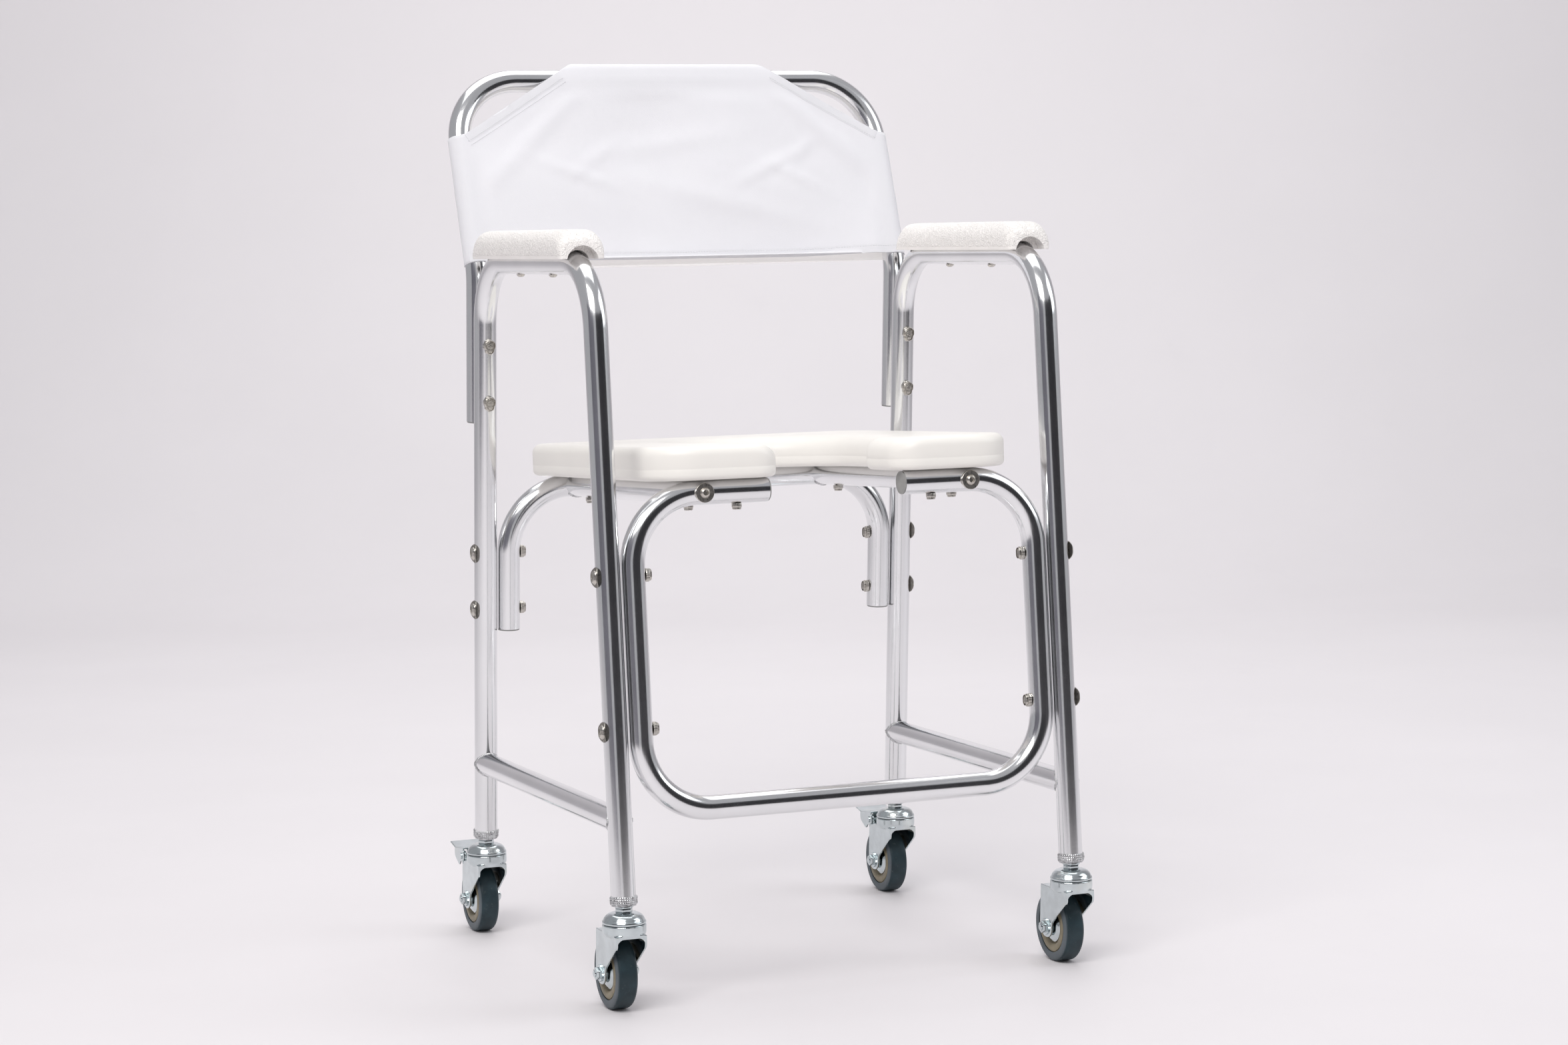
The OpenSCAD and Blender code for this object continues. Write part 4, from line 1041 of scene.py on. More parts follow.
def make_fasteners(context):
    sizes = context.scene.chair_tubes
    plan = Plan(sizes)
    steel = stainless_steel(context.scene.chair_colours)
    zinc = zinc_plate(context.scene.chair_colours)
    rng = random.Random(4)
    bolts = {"leg": [], "back": []}
    for row in bolt_rows("leg_bolts"):
        bolts["leg"].append(row)
    for row in bolt_rows("back_bolts"):
        bolts["back"].append(row)
    heads, washers, nuts = [], [], []
    saddle = 0.0015
    for place in bolts["leg"]:
        out = math.copysign(1, place.x)
        rear = place.y > 0
        leg = plan.on_rear(place.x, place.z) if rear else plan.on_front(place.x, place.z)
        centre = Vector((out * LEG_X, leg.y, place.z))
        heads.append(facing(centre + Vector((out * (TUBE_R + saddle), 0, 0)), (out, 0, 0), rng.uniform(0, 1)))
        lean = sizes.splay if rear else -sizes.splay
        turn = Matrix.Rotation(lean, 4, "X") @ Matrix(((0, 0, out, 0), (out, 0, 0, 0), (0, 1, 0, 0), (0, 0, 0, 1)))
        turn = Matrix.Rotation(lean, 4, "X") @ Matrix(((0, 0, out, 0), (-out, 0, 0, 0), (0, 1, 0, 0), (0, 0, 0, 1)))
        washers.append(Matrix.Translation(centre + Vector((out * TUBE_R, 0, 0))) @ turn)
        nuts.append(facing(centre + Vector((-out * (LEG_X - plan.inner_x + TUBE_R), 0, 0)), (-out, 0, 0), rng.uniform(0, 1)))
    back_axis = Vector((0, math.cos(sizes.splay), math.sin(sizes.splay)))
    for place in bolts["back"]:
        centre = plan.on_rear(place.x, place.z)
        start = centre + back_axis * (3 * TUBE_R + sizes.gap)
        heads.append(facing(start, back_axis, rng.uniform(0, 1)))
        nuts.append(facing(centre - back_axis * TUBE_R, -back_axis, rng.uniform(0, 1)))
    head = button_head("head", 0.0115, 0.0036, 0.004)
    scattered("frame_bolt_heads", head, heads, steel, ["leg_bolts", "back_bolts"])
    washer = saddle_washer("washer", 0.018, saddle, 0.0062)
    scattered("curved_washers", washer, washers, steel, ["leg_saddles"])
    nut = locking_nut("nut", 0.010, 0.0065, 0.003)
    scattered("frame_lock_nuts", nut, nuts, steel, ["leg_nuts", "back_nuts"])
    seats = []
    for x, back in ((0.110, -plan.rail_run), (RAIL_X, 0.034 - plan.rail_run), (RAIL_X, -0.055)):
        for _, s in SIDES:
            seats.append(facing(plan.on_seat(s * x, back, -TUBE_R), -plan.seat_up, rng.uniform(0, 1)))
    nut = locking_nut("nut", 0.010, 0.0065, 0.003)
    scattered("seat_lock_nuts", nut, seats, steel, ["seat_nuts", "seat_bolts"])
    rails = [facing(plan.on_seat(s * RAIL_X, -plan.rail_run, 0) + plan.forward * (TUBE_R + 0.0025), plan.forward, 0.3 * s)
             for _, s in SIDES]
    disc = [(0.0, 0.0), (0.0098, 0.0), (0.0101, -0.0003), (0.0101, -0.0022), (0.0096, -0.0026), (0.0, -0.0026)]
    flat = sharpened(lathe("flat", disc, Matrix(), 48), 40.0)
    scattered("rail_flat_washers", flat, rails, steel, ["rail_washers"])
    head = button_head("head", 0.0108, 0.0036, 0.005)
    scattered("rail_bolt_heads", head, rails, steel, ["rail_bolts"])
    pads = middle("left_arm_pad")
    screws = [facing(Vector((s * LEG_X, pads.y + d * 0.053, ARM_Z - TUBE_R)), (0, 0, -1), 0.5)
              for _, s in SIDES for d in (-1, 1)]
    dome = [(0.0045, 0.0), (0.0044, 0.0008), (0.0036, 0.0021), (0.0022, 0.0028), (0.0010, 0.0030), (0.0008, 0.0014), (0, 0.0014)]
    screw = sharpened(lathe("screw", [(0, 0)] + dome, Matrix(), 28), 45.0)
    scattered("pad_screw_heads", screw, screws, steel, ["arm_pad_screws"])
    coated("rail_inserts", zinc)


def bolt_rows(node):
    """The middle of each separate solid of a CAD node."""
    mesh = frame["nodes"][node].data
    bm = bmesh.new()
    bm.from_mesh(mesh)
    left, groups = set(bm.verts), []
    while left:
        stack, group = [left.pop()], []
        while stack:
            vertex = stack.pop()
            group.append(vertex.co.copy())
            for edge in vertex.link_edges:
                other = edge.other_vert(vertex)
                if other in left:
                    left.remove(other)
                    stack.append(other)
        groups.append(group)
    world = frame["nodes"][node].matrix_world
    bm.free()
    rows = []
    for group in groups:
        spots = [world @ p for p in group]
        low = Vector([min(p[i] for p in spots) for i in range(3)])
        high = Vector([max(p[i] for p in spots) for i in range(3)])
        rows.append((low + high) / 2)
    return rows


# ---- The cloth back cover ----


class Sleeve:
    """The cover's cut: rows up the back, columns across, round the uprights and over the top bar."""

    def __init__(self, plan, sizes):
        self.plan, self.sizes = plan, sizes
        self.reach = TUBE_R + sizes.clearance + sizes.thickness / 2
        low_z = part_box("back_cover")[0].z
        lean = plan.sizes.back_lean
        self.low = (low_z + self.reach * math.sin(lean) - TOP_BAR_Z) / math.cos(lean)
        self.top = sizes.slack
        self.cut = self.top - sizes.cut_drop
        step = sizes.mesh_step
        self.rows_low = max(4, round((self.cut - self.low) / step))
        self.rows_high = max(3, round((self.top - self.cut) / step))
        self.columns = max(8, 2 * round(LEG_X / step))
        levels = [self.low + (self.cut - self.low) * k / self.rows_low for k in range(self.rows_low)]
        levels += [self.cut + (self.top - self.cut) * k / self.rows_high for k in range(self.rows_high + 1)]
        self.levels = levels

    def half(self, up):
        """Half width of the flat panel at a height."""
        share = min(1.0, max(0.0, (up - self.cut) / (self.top - self.cut)))
        return LEG_X + (self.sizes.top_half - LEG_X) * share

    def build(self, name):
        """The open surface, with its cut as a UV map. Returns the object."""
        points, cut, faces = [], [], []
        arc = math.pi * self.reach
        index = {}

        def corner(key, point, uv):
            if key not in index:
                index[key] = len(points)
                points.append(point)
                cut.append(uv)
            return index[key]

        def panel(side, row, column):
            up = self.levels[row]
            x = self.half(up) * (2 * column / self.columns - 1)
            along = up - self.low if side > 0 else 2 * (self.top - self.low) + arc - (up - self.low)
            return corner((side, row, column), self.plan.on_back(x, up, side * self.reach), (x, along))

        for side in (1, -1):
            for row in range(len(self.levels) - 1):
                for column in range(self.columns):
                    quad = [panel(side, row, column), panel(side, row, column + 1)]
                    quad += [panel(side, row + 1, column + 1), panel(side, row + 1, column)]
                    faces.append(quad if side > 0 else quad[::-1])
        steps = 8

        def round_side(s, row, k):
            if k in (0, steps):
                return panel(1 if k == 0 else -1, row, 0 if s < 0 else self.columns)
            turn = math.pi * k / steps
            up = self.levels[row]
            x = s * (LEG_X + self.reach * math.sin(turn))
            uv = (s * (LEG_X + self.reach * turn), up - self.low)
            return corner((s * 2, row, k), self.plan.on_back(x, up, self.reach * math.cos(turn)), uv)

        for s in (-1, 1):
            for row in range(self.rows_low):
                for k in range(steps):
                    quad = [round_side(s, row, k), round_side(s, row, k + 1)]
                    quad += [round_side(s, row + 1, k + 1), round_side(s, row + 1, k)]
                    faces.append(quad if s > 0 else quad[::-1])
        last = len(self.levels) - 1

        def round_top(column, k):
            if k in (0, steps):
                return panel(1 if k == 0 else -1, last, column)
            turn = math.pi * k / steps
            x = (self.half(self.top) - 0.022 * math.sin(turn)) * (2 * column / self.columns - 1)
            up = self.top + self.reach * math.sin(turn)
            uv = (x, self.top - self.low + self.reach * turn)
            return corner(("top", column, k), self.plan.on_back(x, up, self.reach * math.cos(turn)), uv)

        for column in range(self.columns):
            for k in range(steps):
                quad = [round_top(column, k), round_top(column + 1, k)]
                faces.append(quad + [round_top(column + 1, k + 1), round_top(column, k + 1)])
        obj = piece_of(name, points, faces)
        layer = obj.data.uv_layers.new(name="cloth")
        spots = np.array([cut[loop.vertex_index] for loop in obj.data.loops], np.float32)
        layer.data.foreach_set("uv", spots.ravel())
        pinned = [i for key, i in index.items() if key[0] == "top" or abs(key[0] if key[0] != "top" else 0) == 2]
        pins = obj.vertex_groups.new(name="held")
        pins.add(pinned, 1.0, "REPLACE")
        return obj

    def kept_off(self, obj):
        """Pushes the cloth out of the tubes and keeps the two panels apart."""
        plan, least = self.plan, self.reach
        for vertex in obj.data.vertices:
            p = vertex.co - plan.top_bar
            up, out, x = p.dot(plan.back_up), p.dot(plan.back_front), vertex.co.x
            side = 1 if out >= 0 else -1
            if abs(out) < 0.002:
                out = side * 0.002
            dx = abs(x) - LEG_X
            gap = math.hypot(dx, out)
            if gap < least and up < 0:
                scale = least / max(gap, 1e-6)
                dx, out = dx * scale, out * scale
                x = math.copysign(LEG_X + dx, x)
            gap = math.hypot(up, out)
            if gap < least:
                scale = least / max(gap, 1e-6)
                up, out = up * scale, out * scale
            vertex.co = plan.on_back(x, up, out)


CREASES = (
    # across, up (shares of the panel), length, angle, depth, width
    (0.46, 0.50, 0.050, 0.45, 0.0030, 0.0055),
    (0.55, 0.44, 0.040, -0.50, 0.0026, 0.0050),
    (0.60, 0.56, 0.030, 0.9, 0.0020, 0.0045),
    (-0.47, 0.45, 0.045, -0.35, 0.0026, 0.0055),
    (-0.40, 0.54, 0.035, 0.6, 0.0020, 0.0050),
    (-0.05, 0.62, 0.090, 0.15, 0.0014, 0.0110),
    (0.20, 0.30, 0.110, -0.25, 0.0016, 0.0120),
    (-0.70, 0.62, 0.090, 0.75, 0.0020, 0.0100),
    (0.74, 0.66, 0.090, -0.75, 0.0020, 0.0100),
)


def creased(obj, sleeve):
    """Adds the small set creases of a packed cover to both panels."""
    plan = sleeve.plan
    height = sleeve.top - sleeve.low
    for vertex in obj.data.vertices:
        p = vertex.co - plan.top_bar
        up, out = p.dot(plan.back_up), p.dot(plan.back_front)
        if abs(vertex.co.x) > LEG_X - 0.02 or up > -0.02:
            continue
        side = 1 if out > 0 else -1
        push = 0.0
        for across, share, run, turn, depth, width in CREASES:
            dx = vertex.co.x - side * across * LEG_X
            dy = up - (sleeve.low + share * height)
            along = dx * math.cos(turn) + dy * math.sin(turn)
            off = -dx * math.sin(turn) + dy * math.cos(turn)
            push += 1.9 * depth * math.exp(-((along / run) ** 2)) * (math.exp(-((off / width) ** 2)) - 0.35 * math.exp(-((off / width / 2.2) ** 2)))
        drift = noise.noise(Vector((vertex.co.x * 8, up * 11, side * 3.0))) * 0.0060
        vertex.co += plan.back_front * (push + drift) * side * (1.0 if side > 0 else 0.8)


def make_cover(context):
    sizes = context.scene.chair_cover
    colours = context.scene.chair_colours
    plan = Plan(context.scene.chair_tubes)
    sleeve = Sleeve(plan, sizes)
    cloth = coated_cloth(colours, sleeve.top - sleeve.low + math.pi * sleeve.reach / 2)
    cover = sleeve.build("back_cloth")
    drape(cover, sizes.frames)
    sleeve.kept_off(cover)
    creased(cover, sleeve)
    sleeve.kept_off(cover)
    outward(cover)
    fine = cover.modifiers.new("fine", "SUBSURF")
    fine.levels = fine.render_levels = 1
    shell = cover.modifiers.new("shell", "SOLIDIFY")
    shell.thickness = sizes.thickness
    shell.offset = 0.0
    settled(cover)
    cover.data.shade_smooth()
    finished(cover, cloth, "frame", ["back_cover"])
    lines, hems = hem_lines(cover, sleeve)
    hem = hem_bands(hems, sizes.thickness, sleeve)
    finished(hem, cloth, "frame")
    sewing = thread(colours)
    stitch = beads("cover_stitches", lines, sizes.stitch, (0.0025, 0.0009, 0.0008), 0.08, sewing)
    width = 2 * LEG_X + math.pi * sleeve.reach
    tall = 2 * (sleeve.top - sleeve.low) + math.pi * sleeve.reach


def drape(obj, frames):
    """Lets the cloth settle under its own weight, held at the uprights and the top bar."""
    scene = bpy.context.scene
    cloth = obj.modifiers.new("settle", "CLOTH")
    settings = cloth.settings
    settings.quality = 6
    settings.mass = 0.08
    settings.tension_stiffness = settings.compression_stiffness = 20
    settings.shear_stiffness = 12
    settings.bending_stiffness = 1.2
    settings.shrink_min = 0.004
    settings.vertex_group_mass = "held"
    cloth.collision_settings.use_collision = False
    cloth.point_cache.frame_start, cloth.point_cache.frame_end = 1, frames
    for frame_number in range(1, frames + 1):
        scene.frame_set(frame_number)
        bpy.context.view_layer.update()
    settled(obj)
    scene.frame_set(1)


def on_cloth(tree_of_faces, sleeve, x, up, side):
    """The cloth's outer surface at a place, and the way out of it."""
    way = sleeve.plan.back_front * side
    start = sleeve.plan.on_back(x, up, 0) + way * 0.08
    spot, normal, _, _ = tree_of_faces.ray_cast(start, -way)
    if spot is None:
        spot = sleeve.plan.on_back(x, up, side * sleeve.reach)
        normal = way
    return spot, normal if normal.dot(way) > 0 else -normal


def hem_lines(cover, sleeve):
    """Stitch lines along the hems, and the strips that the hems cover."""
    from mathutils.bvhtree import BVHTree

    faces = BVHTree.FromObject(cover, bpy.context.evaluated_depsgraph_get())
    hem = sleeve.sizes.hem
    slope = Vector((sleeve.sizes.top_half - LEG_X, sleeve.top - sleeve.cut))
    slant = math.hypot(*slope)
    lines, strips = [], []
    for side in (1, -1):
        inset = hem - 0.002
        steps = 130
        line = []
        for k in range(steps + 1):
            x = (LEG_X + 0.006) * (2 * k / steps - 1)
            spot, normal = on_cloth(faces, sleeve, x, sleeve.low + inset, side)
            line.append((spot + normal * 0.0003, tuple(normal)))
        lines.append(line)
        edge = [[on_cloth(faces, sleeve, (LEG_X + 0.010) * (2 * k / steps - 1), sleeve.low + d, side) for k in range(steps + 1)] for d in (0.0006, hem * 0.5, hem)]
        strips.append(edge)
        for s in (-1, 1):
            for offset in (inset, inset + 0.0055) if s * side < 0 else (inset,):
                line = []
                for k in range(47):
                    share = 0.01 + 0.985 * k / 46
                    edge_x = LEG_X + slope.x * share
                    up = sleeve.cut + slope.y * share
                    x = s * (edge_x - offset * slope.y / slant)
                    up -= offset * -slope.x / slant
                    spot, normal = on_cloth(faces, sleeve, x, up, side)
                    line.append((spot + normal * 0.0003, tuple(normal)))
                lines.append(line)
            edge = []
            for d in (0.0006, hem * 0.5, hem):
                row = []
                for k in range(47):
                    share = 0.01 + 0.985 * k / 46
                    x = s * (LEG_X + slope.x * share - d * slope.y / slant)
                    up = sleeve.cut + slope.y * share + d * slope.x / slant
                    row.append(on_cloth(faces, sleeve, x, up, side))
                edge.append(row)
            strips.append(edge)
    return lines, strips


def hem_bands(strips, thickness, sleeve):
    """The hems' folded layer: thin bands on the cloth."""
    points, faces = [], []
    for strip in strips:
        start = len(points)
        count = len(strip[0])
        for lift in (0.0, 1.0):
            for row_number, row in enumerate(strip):
                rise = thickness * (0.75 if row_number < 2 else 0.35)
                for spot, normal in row:
                    points.append(spot + normal * (rise * lift - 0.0001))
        rows = len(strip)
        cell = lambda shell, row, k: start + (shell * rows + row) * count + k
        for k in range(count - 1):
            for row in range(rows - 1):
                for shell in (0, 1):
                    quad = [cell(shell, row, k), cell(shell, row, k + 1)]
                    faces.append(quad + [cell(shell, row + 1, k + 1), cell(shell, row + 1, k)])
            for row in (0, rows - 1):
                faces.append([cell(0, row, k), cell(0, row, k + 1), cell(1, row, k + 1), cell(1, row, k)])
        for k in (0, count - 1):
            for row in range(rows - 1):
                faces.append([cell(0, row, k), cell(0, row + 1, k), cell(1, row + 1, k), cell(1, row, k)])
    band = outward(piece_of("cover_hems", points, faces))
    layer = band.data.uv_layers.new(name="cloth")
    for loop, uv in zip(band.data.loops, layer.data):
        p = band.data.vertices[loop.vertex_index].co - sleeve.plan.top_bar
        rise = p.dot(sleeve.plan.back_up) - sleeve.low
        whole = 2 * (sleeve.top - sleeve.low) + math.pi * sleeve.reach
        uv.uv = (p.x, rise if p.dot(sleeve.plan.back_front) > 0 else whole - rise)
    return sharpened(band, 50.0)


# ---- The seat ----


def seat_outline(sizes, half, depth):
    """Corner points of the horseshoe (x, y, radius): y from the front edge back."""
    gap, wide, nose = sizes.throat_half, sizes.opening_half, sizes.nose
    far = sizes.opening_length
    near = sizes.throat
    corner = sizes.corner
    shoulder = math.sqrt(wide * wide - gap * gap)
    oval = []
    for k in range(1, 9):
        turn = math.pi - math.acos(-gap / wide) * 0 + 0
    points = [(half, depth, corner), (-half, depth, corner), (-half, 0, corner), (-gap, 0, nose)]
    start = math.atan2(-shoulder, -gap)
    left = [(-gap, near, 0)]
    centre = near + shoulder
    for k in range(1, 13):
        turn = start + (math.pi - start - math.tau) * k / 12
        left.append((wide * math.cos(turn), centre + wide * math.sin(turn), 0))
    back = []
    middle_y = far - wide
    for k in range(1, 48):
        turn = math.pi - math.pi * k / 48
        back.append((wide * math.cos(turn), middle_y + wide * math.sin(turn), 0))
    points += left + [(-wide, middle_y, 0)] + back + [(wide, middle_y, 0)]
    points += [(-x, y, r) for x, y, r in reversed(left)]
    points += [(gap, 0, nose), (half, 0, corner)]
    return points


def evened(outline, step):
    """A closed line with its points evenly spaced, its sharp turns a little rounded."""
    line = [Vector(p) for p in outline]
    line.append(line[0])
    lengths = [0.0]
    for a, b in zip(line, line[1:]):
        lengths.append(lengths[-1] + (b - a).length)
    count = round(lengths[-1] / step)
    out, i = [], 0
    for k in range(count):
        at = lengths[-1] * k / count
        while lengths[i + 1] < at:
            i += 1
        share = (at - lengths[i]) / max(1e-9, lengths[i + 1] - lengths[i])
        out.append(line[i].lerp(line[i + 1], share))
    return out


def make_seat(context):
    sizes = context.scene.chair_seat
    plan = Plan(context.scene.chair_tubes)
    low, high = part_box("seat")
    size = high - low
    c, s = -plan.forward.y, plan.forward.z
    turned = c * c - s * s
    depth = (size.y * c - size.z * s) / turned
    thick = (size.z * c - size.y * s) / turned
    half = size.x / 2
    rear = (high.y - plan.rear_bar.y - (TUBE_R + thick) * s) / c
    base = TUBE_R + 0.0002
    ring = evened(filleted(seat_outline(sizes, half, depth), steps=14), 0.0042)
    count = len(ring)
    for _ in range(10):
        ring = [
            p if abs(p.x) > sizes.opening_half + 0.02 or p.y < 0.03 else (ring[k - 1] + p * 2 + ring[(k + 1) % count]) / 4
            for k, p in enumerate(ring)
        ]
    normals = []
    for k in range(count):
        run = ring[(k + 1) % count] - ring[k - 1]
        normals.append(Vector((run.y, -run.x)).normalized())
    inward = sum(ring[k].x * ring[(k + 1) % count].y - ring[(k + 1) % count].x * ring[k].y for k in range(count))
    if inward > 0:
        normals = [-n for n in normals]
    for _ in range(6):
        normals = [(normals[k - 1] + normals[k] * 2 + normals[(k + 1) % count]).normalized() for k in range(count)]
    inner = []
    for p in ring:
        near_hole = abs(p.x) < sizes.opening_half + 0.03 and p.y < sizes.opening_length + 0.03
        front_face = p.y < 0.004
        inner.append(1.0 if near_hole and not front_face else 0.0)
    for _ in range(10):
        inner = [(inner[k - 1] + inner[k] + inner[(k + 1) % count]) / 3 for k in range(count)]
    profile = [(0.007, 0.0, 0.007, 0.0)]
    for k in range(1, 6):
        turn = math.pi / 2 * k / 5
        inset, rise = 0.006 * (1 - math.sin(turn)), 0.006 * (1 - math.cos(turn))
        profile.append((inset, rise, inset, rise))
    seam = thick * 0.34
    for inset, rise in ((0.0, -0.0006), (0.00018, -0.0001), (0.00018, 0.0002), (0.0, 0.0007)):
        profile.append((inset, seam + rise, inset, seam + rise))
    steps = 12
    for k in range(steps + 1):
        turn = math.pi / 2 * k / steps
        outer = sizes.edge * (1 - math.cos(turn)), thick - sizes.edge * (1 - math.sin(turn))
        roll = sizes.roll * (1 - math.cos(turn)) ** 1.1, thick - 0.019 * (1 - math.sin(turn)) ** 1.1
        profile.append((*outer, *roll))
    profile.append((sizes.edge + 0.0012, thick, sizes.roll + 0.0012, thick))
    points, faces = [], []
    for a, z_a, b, z_b in profile:
        for k in range(count):
            w = inner[k]
            inset, rise = a * (1 - w) + b * w, z_a * (1 - w) + z_b * w
            p = ring[k] + normals[k] * inset
            points.append(plan.on_seat(p.x, rear - depth + p.y, base + rise))
    for row in range(len(profile) - 1):
        for k in range(count):
            n = (k + 1) % count
            faces.append([row * count + k, row * count + n, (row + 1) * count + n, (row + 1) * count + k])
    faces.append(list(range(count)))
    faces.append([(len(profile) - 1) * count + k for k in range(count)])
    seat = outward(piece_of("moulded_seat", points, faces))
    finished(seat, seat_moulding(context.scene.chair_colours), "frame", ["seat"])


# ---- The arm pads ----


def pad_section(half, top, edge, arch, axis_drop, inset):
    """One section of a pad: (x, height) points, from the outer bottom up, over, down and round the tube."""
    half -= inset
    top -= inset
    edge = min(edge, top * 0.8, half * 0.8)
    points = [(half - 0.0006, inset * 0.4), (half, 0.0012 + inset * 0.4)]
    for k in range(9):
        turn = math.pi / 2 * k / 8
        crown = 0.0012 * (1 - (half - edge + edge * math.cos(turn)) / half)
        points.append((half - edge + edge * math.cos(turn), top - edge + edge * math.sin(turn) + crown - 0.0012))
    for k in range(1, 8):
        x = (half - edge) * (1 - k / 4)
        points.append((x, top - 0.0012 * abs(x) / half))
    for x, z in [(-x, z) for x, z in reversed(points[:11])]:
        points.append((x, z))
    span = math.acos(min(1.0, axis_drop / arch))
    for k in range(17):
        turn = -span + 2 * span * k / 16
        points.append((arch * math.sin(turn), arch * math.cos(turn) - axis_drop + inset * 0.0))
    return points


def make_pads(context):
    sizes = context.scene.chair_pads
    low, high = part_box("left_arm_pad")
    long, tall, half = high.y - low.y, high.z - low.z, (high.x - low.x) / 2
    drop = low.z - ARM_Z
    material = grained_pad(context.scene.chair_colours, low.z + 0.0030)
    for side, s in SIDES:
        places = [0.0, 0.0005, 0.0014, 0.003, 0.005, 0.0075, 0.010, 0.013, 0.0145, 0.016, 0.0163, 0.020]
        stations = [(d, 1) for d in places] + [(d, 0) for d in np.linspace(0.04, long - 0.04, 28)]
        stations += [(long - d, -1) for d in (0.020, 0.0163, 0.016, 0.0145, 0.013, 0.010, 0.0075, 0.005, 0.003, 0.0014, 0.0005, 0.0)]
        points, faces = [], []
        for y, end in stations:
            e = min(y, long - y)
            inset = 0.0016 * (1 - min(1.0, e / 0.0015)) ** 2
            plan_round = 0.009
            if e < plan_round:
                inset_x = plan_round - math.sqrt(plan_round**2 - (plan_round - e) ** 2)
            else:
                inset_x = 0.0
            foot = 0.0185 if end == 1 else 0.013
            share = min(1.0, e / sizes.slope)
            top = foot + (tall - foot) * (math.sin(share * math.pi / 2) ** 0.85)
            arch = TUBE_R + 0.00005
            if end == 1 and e < 0.0162:
                arch = sizes.arch + 0.0022 * (1 - min(1.0, e / 0.0035))
                arch = min(arch, half - inset_x * 0.45 - 0.0035)
            row = pad_section(half - inset_x * 0.45, top, sizes.edge, arch, drop, inset)
            points += [(s * LEG_X + x, low.y + y, low.z + z) for x, z in row]
        count = len(row)
        for a in range(len(stations) - 1):
            for k in range(count):
                n = (k + 1) % count
                faces.append([a * count + k, a * count + n, (a + 1) * count + n, (a + 1) * count + k])
        faces.append(list(range(count)))
        faces.append([(len(stations) - 1) * count + k for k in range(count)])
        pad = outward(piece_of(f"{side}_pad", points, faces))
        sharpened(pad, 48.0)
        finished(pad, material, "frame", [f"{side}_arm_pad"])


# ---- The casters ----


def yz_plate(name, outline, x, thickness):
    """A plate in the plane of (y, z), centred on x."""
    return plate(name, outline, thickness, along_x((x, 0, 0)))


def xz_block(name, outline, y_low, y_high):
    """A shape in the plane of (x, z), drawn out from y_low to y_high."""
    turn = Matrix(((1, 0, 0, 0), (0, 0, -1, 0), (0, 1, 0, 0), (0, 0, 0, 1)))
    place = Matrix.Translation((0, (y_low + y_high) / 2, 0)) @ turn
    return plate(name, outline, y_high - y_low, place)


